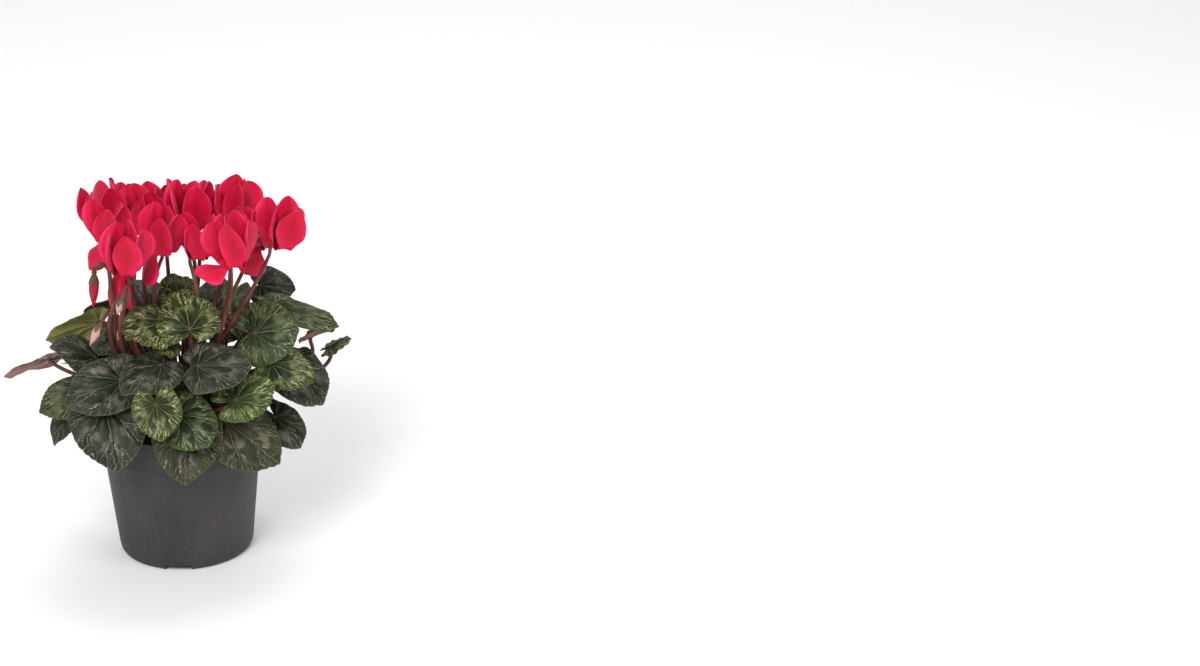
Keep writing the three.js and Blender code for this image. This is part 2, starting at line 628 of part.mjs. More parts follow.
function clearRoute(root, end, arrivals, radius, obstacles) {
  let best = { room: -Infinity };
  for (const bow of STALK.bows) {
    const headings = bow ? STALK.headings : 1;
    for (let h = 0; h < headings; h += 1) {
      for (const arrival of arrivals) {
        const route = bowedRoute(root, end, arrival, bow, (h / headings) * FULL_TURN);
        const room = clearance(route, radius, obstacles);
        if (room > best.room) best = { route, room };
        if (room > STALK.room) return best;
      }
    }
  }
  return best;
}

function taper(count, root, end) {
  return Array.from({ length: count }, (_, i) => THREE.MathUtils.lerp(root, end, i / (count - 1)));
}

function leafStalk(root, blade, obstacles) {
  const { at, along, normal } = bladeFrame(blade);
  const end = at.clone().addScaledVector(normal, -(BLADE.thick / 2 + STALK.seat));
  const below = end.clone().addScaledVector(normal, -STALK.neck).addScaledVector(along, -STALK.tuck);
  const arrivals = STALK.approaches.map((share) => (
    normal.clone().multiplyScalar(STALK.rise).addScaledVector(along, share).normalize()));
  const { route, room } = clearRoute(root, below, arrivals, STALK.leafRoot, obstacles);
  route.push(end);
  return { solid: tube(route, taper(route.length, STALK.leafRoot, STALK.leafEnd), STALK.leafSides), room };
}

function bloomStalk(root, bloom, obstacles) {
  const frame = bloomFrame(bloom);
  const cupTop = CUP[CUP.length - 1][1];
  const inward = Math.atan2(-frame.mouth.y, -frame.mouth.x);
  const first = Math.round((inward - radians(bloom.spin)) / (FULL_TURN / PETAL.count) - 0.5);
  let best = { room: -Infinity };
  for (const gap of [0, 1, -1, 2, -2]) {
    const angle = radians(bloom.spin) + ((first + gap + 0.5) / PETAL.count) * FULL_TURN;
    const hook = HOOK.map(([out, height]) => bloomPlace(frame, out * (bloom.hook ?? 1), angle, height));
    hook.push(bloomPlace(frame, 0, angle, cupTop + STALK.calyxLength));
    hook.push(bloomPlace(frame, 0, angle, cupTop + CLEAR));
    const straight = hook[1].clone().sub(hook[0]).normalize();
    const arrivals = [straight];
    for (let h = 0; h < STALK.leans; h += 1) {
      arrivals.push(straight.clone().add(polar(STALK.lean, (h / STALK.leans) * FULL_TURN, 0)).normalize());
    }
    const hookRoom = clearance(hook.slice(0, -2), STALK.bloomEnd, obstacles);
    const found = clearRoute(root, hook[0], arrivals, STALK.bloomRoot, obstacles);
    const room = Math.min(found.room, hookRoom);
    if (room > best.room) best = { room, free: found.route, hook: hook.slice(1) };
    if (room > STALK.room) break;
  }
  const radii = taper(best.free.length, STALK.bloomRoot, STALK.bloomEnd);
  best.hook.forEach((_, i) => radii.push(i < best.hook.length - 1 ? STALK.bloomEnd : STALK.calyx));
  return { solid: tube([...best.free, ...best.hook], radii, STALK.sides), room: best.room };
}

function budStalk(root, bud, obstacles) {
  const calyx = from(bud.calyx);
  const axis = budAxis(bud);
  const side = polar(1, radians(bud.hook), 0);
  const top = calyx.clone().addScaledVector(axis, -CLEAR);
  const place = (start, out, up) => (
    start.clone().addScaledVector(side, bud.rise * out).addScaledVector(UP, bud.rise * up));
  const above = top.clone().addScaledVector(axis, -BUD_HOOK.neck);
  const crest = place(above, BUD_HOOK.crestOut, BUD_HOOK.crestUp);
  const over = place(above, BUD_HOOK.over, 0);
  const down = place(over, BUD_HOOK.downOut, -BUD_HOOK.down);
  const { route, room } = clearRoute(root, down, [UP], STALK.leafRoot, obstacles);
  route.push(over, crest, above, top);
  const radii = taper(route.length - 1, STALK.leafRoot, STALK.bloomEnd);
  radii.push(bud.radius * BUD_HOOK.flare);
  return { solid: tube(route, radii, STALK.sides), room };
}

function stalksGeometry(blades, flowers, buds, obstacles) {
  const leafRoots = rootsUnder(blades.map((blade) => from(blade.at)), STALK.leafRings);
  const flowerEnds = [...flowers.map((bloom) => from(bloom.mouth)), ...buds.map((bud) => from(bud.calyx))];
  const flowerRoots = rootsUnder(flowerEnds, STALK.bloomRings);
  const grown = [
    ...blades.map((blade, k) => leafStalk(leafRoots[k], blade, obstacles)),
    ...flowers.map((bloom, k) => bloomStalk(flowerRoots[k], bloom, obstacles)),
    ...buds.map((bud, k) => budStalk(flowerRoots[flowers.length + k], bud, obstacles)),
  ];
  const corm = turned(CORM.profile, CORM.sides, vec(0, 0, 0), UP);
  const solids = grown.map(({ solid }) => solidOf(solid));
  const joined = wasm.Manifold.union([solidOf(corm), ...solids]).decompose();
  // Only the outer skin is kept, which fills any hollow sealed between crossing stalks
  return geometryOf(joined.reduce((most, piece) => (piece.volume() > most.volume() ? piece : most)));
}

// Finishes, from the photograph
const finish = (color, roughness) => new THREE.MeshStandardMaterial({ color, roughness, metalness: 0 });
const FINISHES = {
  pot: finish(0x474549, 0.62),
  soil: finish(0x2a211b, 0.95),
  stalk: finish(0x6b3a35, 0.55),
  leaf: finish(0x3f4d3d, 0.5),
  petal: finish(0xc41e44, 0.55),
  bud: finish(0xd98b93, 0.5),
};

const plant = new THREE.Group();

function add(name, geometry, material) {
  const mesh = new THREE.Mesh(geometry, material);
  mesh.name = name;
  plant.add(mesh);
  return geometry;
}

const numbered = (stem, k) => `${stem}_${String(k + 1).padStart(2, '0')}`;

const blades = [...BLADES, ...backBlades()];
const flowers = [...BLOOMS, OPENING];
const crown = [
  ...blades.map((blade, k) => add(numbered('leaf', k), bladeGeometry(blade), FINISHES.leaf)),
  ...BLOOMS.map((bloom, k) => add(numbered('bloom', k), bloomGeometry(bloom), FINISHES.petal)),
  add('opening_flower', bloomGeometry(OPENING), FINISHES.petal),
  ...BUDS.map((bud, k) => add(numbered('bud', k), budGeometry(bud), FINISHES.bud)),
];
const pot = add('pot', potGeometry(), FINISHES.pot);
add('soil', soilGeometry(), FINISHES.soil);
const obstacles = [...crown, pot].map(obstacle);
add('corm_and_stalks', stalksGeometry(blades, flowers, BUDS, obstacles), FINISHES.stalk);

export default plant;
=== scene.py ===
# A potted cyclamen in flower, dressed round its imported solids.
# Tables are in millimetres and degrees, with the plant's front at -Y; meshes are in metres.

import math

import bmesh
import bpy
import numpy as np
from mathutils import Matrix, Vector
from mathutils.bvhtree import BVHTree


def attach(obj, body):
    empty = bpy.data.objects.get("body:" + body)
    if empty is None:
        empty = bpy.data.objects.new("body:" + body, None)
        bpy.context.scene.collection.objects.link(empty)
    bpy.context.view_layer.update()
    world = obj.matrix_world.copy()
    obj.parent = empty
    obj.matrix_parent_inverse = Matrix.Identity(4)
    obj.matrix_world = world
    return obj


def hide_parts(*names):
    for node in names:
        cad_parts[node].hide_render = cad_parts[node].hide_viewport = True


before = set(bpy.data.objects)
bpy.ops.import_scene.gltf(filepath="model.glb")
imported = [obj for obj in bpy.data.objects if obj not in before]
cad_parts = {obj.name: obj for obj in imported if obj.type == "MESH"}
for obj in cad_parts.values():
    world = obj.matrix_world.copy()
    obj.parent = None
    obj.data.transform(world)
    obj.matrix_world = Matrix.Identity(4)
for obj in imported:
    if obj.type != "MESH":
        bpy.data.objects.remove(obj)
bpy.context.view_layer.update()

MM = 0.001
TURN = 2 * math.pi
UP = np.array((0, 0, 1.0))


class Wire:
    """The output of a node. Python's operators on it add Math nodes."""

    def __init__(self, graph, socket):
        self.graph = graph
        self.socket = socket

    def math(self, operation, *others):
        inputs = dict(enumerate((self, *others)))
        return self.graph.node("ShaderNodeMath", {"operation": operation}, inputs)

    def __add__(self, other):
        return self.math("ADD", other)

    def __sub__(self, other):
        return self.math("SUBTRACT", other)

    def __rsub__(self, other):
        return self * -1 + other

    def __mul__(self, other):
        return self.math("MULTIPLY", other)

    def __truediv__(self, other):
        return self.math("DIVIDE", other)

    def __abs__(self):
        return self.math("ABSOLUTE")

    __radd__ = __add__
    __rmul__ = __mul__


class Graph:
    """A node tree and the one way that nodes are added to it"""

    def __init__(self, tree):
        self.tree = tree

    def node(self, kind, settings=None, inputs=None, output=0):
        node = self.tree.nodes.new(kind)
        for name, value in (settings or {}).items():
            setattr(node, name, value)
        for key, value in (inputs or {}).items():
            self.connect(value, self.socket(node.inputs, key))
        return Wire(self, self.socket(node.outputs, output))

    @staticmethod
    def socket(sockets, key):
        if isinstance(key, int):
            return sockets[key]
        exact = [s for s in sockets if s.identifier == key]
        return exact[0] if exact else sockets[key]

    def connect(self, value, socket):
        if isinstance(value, Wire):
            self.tree.links.new(value.socket, socket)
        elif socket.type == "RGBA" and len(value) == 3:
            socket.default_value = (*value, 1)
        else:
            socket.default_value = value


class Finish(Graph):
    """A material on a Principled shader"""

    def __init__(self, name):
        self.material = bpy.data.materials.new(name)
        self.material.use_nodes = True
        super().__init__(self.material.node_tree)
        self.shader = self.tree.nodes["Principled BSDF"]
        self.places = self.node("ShaderNodeTexCoord", output="Object")

    def mix(self, share, first, second):
        inputs = {"Factor_Float": share, "A_Color": first, "B_Color": second}
        return self.node("ShaderNodeMix", {"data_type": "RGBA"}, inputs, "Result_Color")

    def noise(self, scale, detail=3, stretch=(1, 1, 1), places=None, rough=0.5):
        where = self.node("ShaderNodeMapping", inputs={"Vector": places or self.places, "Scale": stretch})
        inputs = {"Vector": where, "Scale": scale, "Detail": detail, "Roughness": rough}
        return self.node("ShaderNodeTexNoise", inputs=inputs)

    def step(self, value, low, high, start=0, end=1):
        inputs = {"Value": value, "From Min": low, "From Max": high, "To Min": start, "To Max": end}
        return self.node("ShaderNodeMapRange", {"interpolation_type": "SMOOTHSTEP"}, inputs)

    def band(self, value, start, full, fade, end):
        """1 from full to fade, and 0 before start and after end"""
        return self.step(value, start, full) * self.step(value, fade, end, 1, 0)

    def uv(self, name):
        """A piece's own UV map as a vector, and its two coordinates"""
        place = self.node("ShaderNodeUVMap", {"uv_map": name})
        across, along = (self.node("ShaderNodeSeparateXYZ", inputs={"Vector": place}, output=axis)
                         for axis in "XY")
        return place, across, along

    def shade(self, color, rough, height=None, depth=None, **fixed):
        values = {"Base Color": color, "Roughness": rough}
        if height is not None:
            values["Normal"] = self.node("ShaderNodeBump", inputs={"Height": height, "Distance": depth})
        values.update({name.replace("_", " "): value for name, value in fixed.items()})
        for name, value in values.items():
            self.connect(value, self.shader.inputs[name])
        return self.material


class Growth(Graph):
    """A geometry tree with a wire from each of its inputs, among them the finish"""

    def __init__(self, name, **kinds):
        super().__init__(bpy.data.node_groups.new(name, "GeometryNodeTree"))
        for label, kind in kinds.items():
            self.tree.interface.new_socket(label, in_out="INPUT", socket_type=f"NodeSocket{kind}")
        self.tree.interface.new_socket("Grown", in_out="OUTPUT", socket_type="NodeSocketGeometry")
        given = self.tree.nodes.new("NodeGroupInput")
        self.given = {socket.name: Wire(self, socket) for socket in given.outputs if socket.name}

    def close(self, grown):
        real = self.node("GeometryNodeRealizeInstances", inputs={"Geometry": grown})
        inputs = {"Geometry": real, "Material": self.given["Finish"]}
        done = self.node("GeometryNodeSetMaterial", inputs=inputs)
        self.connect(done, self.tree.nodes.new("NodeGroupOutput").inputs[0])
        return self.tree


class Sheets:
    """Sheets gathered into one mesh, with a UV map and the finish slot of each face"""

    def __init__(self):
        self.points, self.faces, self.slots, self.maps = [], [], [], []

    def add(self, points, faces, slots, maps=None):
        start = len(self.points)
        self.points += list(np.reshape(points, (-1, 3)))
        self.faces += [[start + v for v in face] for face in faces]
        self.slots += np.broadcast_to(slots, len(faces)).tolist()
        self.maps += maps or [np.zeros((len(face), 2)) for face in faces]

    def piece(self, name, materials, uv_map):
        piece = mesh_piece(name, self.points, self.faces, materials, self.slots)
        layer = piece.data.uv_layers.new(name=uv_map)
        layer.data.foreach_set("uv", np.concatenate(self.maps).ravel())
        return piece


def add_object(name, data):
    thing = bpy.data.objects.new(name, data)
    bpy.context.scene.collection.objects.link(thing)
    return thing


def mesh_piece(name, points, faces, materials, slots=None):
    """A mesh object at the origin from points in millimetres"""
    mesh = bpy.data.meshes.new(name)
    mesh.from_pydata(np.asarray(points) * MM, [], faces)
    for material in materials:
        mesh.materials.append(material)
    if slots is not None:
        mesh.polygons.foreach_set("material_index", slots)
    mesh.polygons.foreach_set("use_smooth", [True] * len(mesh.polygons))
    return add_object(name, mesh)


def mend(mesh, near=2e-6, flat=1e-6):
    """Merges doubled corners, drops collapsed faces and turns every face outwards"""
    edit = bmesh.new()
    edit.from_mesh(mesh)
    bmesh.ops.remove_doubles(edit, verts=edit.verts, dist=near)
    bmesh.ops.dissolve_degenerate(edit, edges=edit.edges, dist=flat)
    bmesh.ops.recalc_face_normals(edit, faces=edit.faces)
    edit.to_mesh(mesh)
    edit.free()


def dress(piece, slot, *nodes):
    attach(piece, "root")
    if nodes:
        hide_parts(*nodes)


def unit(v):
    return v / np.linalg.norm(v)


def polar(radius, angle, z):
    return np.array((radius * math.cos(angle), radius * math.sin(angle), z))


def ramp(value, low, high):
    """0 up to low, 1 from high on and straight in between"""
    return np.clip((value - low) / (high - low), 0, 1)


def grid_of(rows, columns):
    return np.meshgrid(rows, columns, indexing="ij")


def band_faces(bands, sides):
    """Quads between rings of points that follow one another"""
    starts = [(row * sides + side, row * sides + (side + 1) % sides)
              for row in range(bands) for side in range(sides)]
    return [(a, b, b + sides, a + sides) for a, b in starts]


def turned(name, profile, sides, materials):
    """A solid of revolution about +Z from a closed profile of radius and height"""
    n = len(profile)
    points, faces = [], []
    for side in range(sides):
        points += [polar(r, side / sides * TURN, z) for r, z in profile]
        after = (side + 1) % sides
        for row in range(n):
            up = (row + 1) % n
            faces.append((side * n + row, after * n + row, after * n + up, side * n + up))
    piece = mesh_piece(name, points, faces, materials)
    mend(piece.data, near=1e-7, flat=1e-7)
    return piece


def baked(piece):
    return bpy.data.meshes.new_from_object(piece.evaluated_get(bpy.context.evaluated_depsgraph_get()))


def join(piece, others, operation):
    """One Boolean of the piece with a group of solids, which are then removed"""
    group = bpy.data.collections.new("cutters")
    for other in others:
        group.objects.link(other)
    boolean = piece.modifiers.new("join", "BOOLEAN")
    boolean.operation = operation
    boolean.operand_type = "COLLECTION"
    boolean.collection = group
    boolean.solver = "MANIFOLD"
    mesh = baked(piece)
    piece.modifiers.clear()
    piece.data = mesh
    for other in others:
        bpy.data.objects.remove(other)
    bpy.data.collections.remove(group)


# The camera: a long lens on a tripod, a little above the blooms and left of the picture's
# middle, with the photograph's own framing.
CAMERA = {"lens": 96.5, "sensor": 36.0, "place": (0.0, -1.936, 0.969), "pitch": 23.13, "yaw": 8.16}

camera_data = bpy.data.cameras.new("camera")
camera_data.lens = CAMERA["lens"]
camera_data.sensor_width = CAMERA["sensor"]
camera = add_object("camera", camera_data)
camera.location = CAMERA["place"]
camera.rotation_euler = (math.radians(90 - CAMERA["pitch"]), 0, -math.radians(CAMERA["yaw"]))
bpy.context.scene.camera = camera

# The pot: one injection-moulded shell of charcoal polypropylene with a recycled, faintly
# streaked grain. Its collar stands out by less than a millimetre, and it stands on a flat
# underside with a ring of drain channels cut up into it.
POT = {
    "height": 94, "rim": 52.5, "base": 43.6, "wall": 1.3, "collar": 72, "step": 0.8, "waist": 51.2,
    "corner": 3, "lip": 0.55, "sides": 160, "floor": 1.6, "rings": 8, "ring_ends": (2, 0.6),
    "corner_arc": (-75, -10), "step_arc": (-65, 0), "step_centre": (-0.1, 0.3), "step_round": 0.25,
    "arc_points": 5, "sharp": 30,
}
DRAIN = {"inner": 15, "outer": 22, "deep": 3.4, "wall": 1.4, "wide": 17, "count": 4, "hole": 3,
         "first": -99, "start": 1, "foot": 0.2, "below": -1, "drop": 0.01, "hole_ends": (-2, 12),
         "hole_sides": 24, "trim_ends": (-1, 6), "trim_in": (1.2, 0.6), "trim_at": 5, "trim_sides": 64}
PLASTIC = {
    "charcoal": (0.0275, 0.0250, 0.0275), "worn": (0.0460, 0.0425, 0.0465),
    "warm": (0.066, 0.054, 0.052), "scuff": (0.20, 0.195, 0.20), "brick": (0.16, 0.07, 0.055),
    "moss": (0.08, 0.13, 0.08),
}
BOX_FACES = [(3, 2, 1, 0), (4, 5, 6, 7), (0, 1, 5, 4), (1, 2, 6, 5), (2, 3, 7, 6), (3, 0, 4, 7)]


def wall_radius(z):
    """The pot's outer radius at a height"""
    if z <= POT["collar"]:
        return POT["base"] + (POT["waist"] - POT["base"]) * z / POT["collar"]
    rise = (z - POT["collar"]) / (POT["height"] - POT["collar"])
    return POT["waist"] + POT["step"] + (POT["rim"] - POT["waist"] - POT["step"]) * rise


def pot_finish():
    paint = Finish("charcoal_plastic")
    streaks = paint.noise(420, detail=4, stretch=(1, 1, 0.04))
    clouds = paint.noise(30, stretch=(1, 1, 0.5))
    wear = paint.step(streaks * 0.35 + clouds * 0.65, 0.32, 0.70)
    color = paint.mix(wear, PLASTIC["charcoal"], PLASTIC["worn"])
    warm = paint.step(paint.noise(22, detail=2, stretch=(1, 1, 0.6)), 0.5, 0.7)
    color = paint.mix(warm * 0.35, color, PLASTIC["warm"])
    scuffs = paint.step(paint.noise(260, detail=2, stretch=(1, 1, 5)), 0.70, 0.76)
    color = paint.mix(scuffs * 0.35, color, PLASTIC["scuff"])
    flecks = paint.step(paint.noise(640, detail=1), 0.73, 0.78)
    tint = paint.mix(paint.step(paint.noise(90, detail=1), 0.48, 0.52), PLASTIC["brick"], PLASTIC["moss"])
    color = paint.mix(flecks * 0.6, color, tint)
    grain = streaks * 0.6 + paint.noise(1500, detail=2) * 0.4
    return paint.shade(color, 0.5 + 0.16 * streaks, grain, depth=0.0002, Specular_IOR_Level=0.3)


def drain_heading(i):
    """The heading of a drain channel. A drain hole lies half way to the next one."""
    return i / DRAIN["count"] * TURN + math.radians(DRAIN["first"])


def channel_boxes(wide, low, high):
    """A box along each drain channel, out through the wall"""
    reach = POT["base"] + 2 * POT["wall"] - DRAIN["inner"]
    boxes = []
    for i in range(DRAIN["count"]):
        angle = drain_heading(i)
        corners = []
        for z in (low, high):
            for x, y in ((0, -wide / 2), (reach, -wide / 2), (reach, wide / 2), (0, wide / 2)):
                out = DRAIN["inner"] + DRAIN["start"] + x
                corners.append((out * math.cos(angle) - y * math.sin(angle),
                                out * math.sin(angle) + y * math.cos(angle), z))
        boxes.append(mesh_piece(f"box_{i}", corners, BOX_FACES, []))
    return boxes


def ring_profile(inner, outer, low, high):
    return [(inner, low), (outer, low), (outer, high), (inner, high)]


def arc(centre, radius, first, last):
    angles = np.radians(np.linspace(first, last, POT["arc_points"]))
    return [(centre[0] + radius * math.cos(a), centre[1] + radius * math.sin(a)) for a in angles]


def pot_profile():
    """Radii and heights from the middle of the underside, up the outside and down the inside"""
    corner, wall, lip = POT["corner"], POT["wall"], POT["lip"]
    step = POT["collar"] + POT["step"]
    outside = [(0, 0), (POT["base"] - corner, 0)]
    outside += arc((POT["base"] - corner, corner), corner, *POT["corner_arc"])
    above, below = POT["ring_ends"]
    rings = np.linspace(corner + above, POT["collar"] - below, POT["rings"])
    outside += [(wall_radius(z), z) for z in rings]
    aside, up = POT["step_centre"]
    outside += arc((POT["waist"] + aside, step + up), POT["step"] + POT["step_round"], *POT["step_arc"])
    outside += arc((POT["rim"] - lip, POT["height"] - lip), lip, 0, 90)
    inside = arc((POT["rim"] - wall + lip, POT["height"] - lip), lip, 90, 180)
    inside += [(POT["waist"] - wall + POT["step"], step), (POT["waist"] - wall, POT["collar"] - wall)]
    inside += [(wall_radius(corner) - wall, corner + wall)]
    inside += [(POT["base"] - corner - wall, POT["floor"]), (0, POT["floor"])]
    return outside + inside


def drain_solids(spare, low, high, drop):
    """The ring channel, and the channels out of it with tops a little lower by a drop"""
    profile = ring_profile(DRAIN["inner"] - spare, DRAIN["outer"] + spare, low, high)
    ring = turned("ring", profile, POT["sides"], [])
    return [ring, *channel_boxes(DRAIN["wide"] + 2 * spare, low, high - drop)]


def make_pot():
    plastic = pot_finish()
    pot = turned("pot_shell", pot_profile(), POT["sides"], [plastic])
    deep, wall, foot = DRAIN["deep"], DRAIN["wall"], DRAIN["foot"]
    ridges = drain_solids(wall, foot, deep + wall, 0)
    low, high = DRAIN["trim_ends"]
    foot_in, head_in = DRAIN["trim_in"]
    within = [(0, low), (POT["base"] - foot_in, low), (wall_radius(DRAIN["trim_at"]) - head_in, high),
              (0, high)]
    trim = turned("trim", within, DRAIN["trim_sides"], [])
    for ridge in ridges:
        join(ridge, [trim.copy()], "INTERSECT")
    bpy.data.objects.remove(trim)
    join(pot, ridges, "UNION")
    cuts = drain_solids(0, DRAIN["below"], deep, DRAIN["drop"])
    middle = (DRAIN["inner"] + DRAIN["outer"]) / 2 * MM
    for i in range(DRAIN["count"]):
        profile = ring_profile(0, DRAIN["hole"], *DRAIN["hole_ends"])
        hole = turned(f"hole_{i}", profile, DRAIN["hole_sides"], [])
        for vertex in hole.data.vertices:
            vertex.co += Vector(polar(middle, drain_heading(i + 0.5), 0))
        cuts.append(hole)
    join(pot, cuts, "DIFFERENCE")
    pot.data.materials.clear()
    pot.data.materials.append(plastic)
    pot.data.polygons.foreach_set("material_index", [0] * len(pot.data.polygons))
    pot.data.set_sharp_from_angle(angle=math.radians(POT["sharp"]))
    dress(pot, "pot", "pot")


make_pot()

# The soil: a dark peat mix, about a centimetre below the rim. The plug is one lumpy sheet over
# a plain body, and loose crumbs of peat and bark lie on it.
SOIL = {"top": 83, "crest": 0.9, "dome": 1.9, "inset": 0.7, "bottom": 5.1, "sides": 120, "rings": 26,
        "centre": 2, "taper": 3, "shoulder": (0.6, 4), "lump": 1.0, "seed": 4, "bare_rings": 9}
CRUMBS = {"count": 1500, "small": 0.35, "large": 1.15, "seed": 11, "broad": 0.7, "flat": 0.55}
RIPPLES = {"octaves": 5, "waves": 3, "scale": 0.11, "finer": 1.75, "weaker": 1.5}
EARTH = {
    "peat": dict(dark=(0.010, 0.0075, 0.006), light=(0.045, 0.031, 0.022)),
    "peat_crumbs": dict(dark=(0.016, 0.011, 0.008), light=(0.075, 0.05, 0.034)),
}


def ripples(x, y, seed):
    """A fixed uneven height between about -1 and 1, from a few crossing waves"""
    draw = np.random.default_rng(seed)
    height = np.zeros_like(x)
    for octave in range(RIPPLES["octaves"]):
        scale = RIPPLES["scale"] * RIPPLES["finer"] ** octave
        for _ in range(RIPPLES["waves"]):
            heading, phase = draw.uniform(0, TURN, 2)
            wave = np.sin(scale * (x * np.cos(heading) + y * np.sin(heading)) + phase)
            height += wave / RIPPLES["weaker"] ** octave
    return height / RIPPLES["octaves"]


def soil_finish(name, dark, light):
    paint = Finish(name)
    grains = paint.noise(420, detail=6, rough=0.7)
    lumps = paint.noise(110)
    color = paint.mix(paint.step(grains * 0.7 + lumps * 0.3, 0.38, 0.68), dark, light)
    return paint.shade(color, 0.92, grains, depth=0.0012)


def crumb_tree():
    """Scatters low-faced crumbs over a sheet, in sizes between two limits"""
    graph = Growth("crumbs", Sheet="Geometry", Count="Float", Small="Float", Large="Float", Seed="Int",
                   Finish="Material")
    given = graph.given
    inputs = {"Mesh": given["Sheet"], "Density": given["Count"], "Seed": given["Seed"]}
    points = graph.node("GeometryNodeDistributePointsOnFaces", inputs=inputs)
    crumb = graph.node("GeometryNodeMeshIcoSphere", inputs={"Radius": 1.0, "Subdivisions": 1})
    inputs = {"Max": (TURN, TURN, TURN), "Seed": given["Seed"]}
    spin = graph.node("FunctionNodeRandomValue", {"data_type": "FLOAT_VECTOR"}, inputs)
    inputs = {"Min_001": given["Small"], "Max_001": given["Large"], "Seed": given["Seed"]}
    size = graph.node("FunctionNodeRandomValue", {"data_type": "FLOAT"}, inputs, "Value_001")
    inputs = {"X": size, "Y": size * CRUMBS["broad"], "Z": size * CRUMBS["flat"]}
    flat = graph.node("ShaderNodeCombineXYZ", inputs=inputs)
    inputs = {"Points": points, "Instance": crumb, "Rotation": spin, "Scale": flat}
    return graph.close(graph.node("GeometryNodeInstanceOnPoints", inputs=inputs))


def grow(name, source, tree, values):
    """Turns a source object into the plain mesh that a geometry tree makes of it"""
    modifier = source.modifiers.new("grow", "NODES")
    modifier.node_group = tree
    for socket in tree.interface.items_tree:
        if socket.in_out == "INPUT" and socket.name in values:
            modifier[socket.identifier] = values[socket.name]
    source.update_tag()
    mesh = baked(source)
    mesh.name = name
    bpy.data.objects.remove(source)
    return add_object(name, mesh)


def make_soil():
    peat, bark = (soil_finish(name, **look) for name, look in EARTH.items())
    n, rows = SOIL["sides"], SOIL["rings"]
    edge = wall_radius(POT["collar"]) - POT["wall"] - SOIL["inset"]
    angles = np.arange(n) / n * TURN
    points = []
    for row in range(rows + 1):
        radius = SOIL["centre"] + (edge - SOIL["centre"]) * row / rows
        x, y = radius * np.cos(angles), radius * np.sin(angles)
        z = SOIL["top"] + SOIL["crest"] - SOIL["dome"] * (radius / edge) ** 2
        points += list(zip(x, y, z + SOIL["lump"] * ripples(x, y, SOIL["seed"])))
    foot = wall_radius(SOIL["bottom"]) - POT["wall"] - SOIL["inset"] - SOIL["taper"]
    shoulder = (edge - SOIL["shoulder"][0], POT["collar"] - SOIL["shoulder"][1])
    for radius, z in (shoulder, (foot, SOIL["bottom"])):
        points += [polar(radius, a, z) for a in angles]
    faces = [tuple(range(n))]
    for row in range(rows + 2):
        for side in range(n):
            a, b = row * n + side, row * n + (side + 1) % n
            faces.append((a, a + n, b + n, b))
    faces.append(tuple(reversed(range((rows + 2) * n, (rows + 3) * n))))
    soil = mesh_piece("soil_plug", points, faces, [peat])
    strewn = faces[1 + SOIL["bare_rings"] * n: (rows - 2) * n + 1]
    sheet = mesh_piece("sheet", points[: (rows - 1) * n], strewn, [peat])
    values = {"Count": CRUMBS["count"] / (math.pi * (edge * MM) ** 2), "Small": CRUMBS["small"] * MM,
              "Large": CRUMBS["large"] * MM, "Seed": CRUMBS["seed"], "Finish": bark}
    dress(soil, "soil", "soil")
    dress(grow("soil_crumbs", sheet, crumb_tree(), values), "soil")


make_soil()

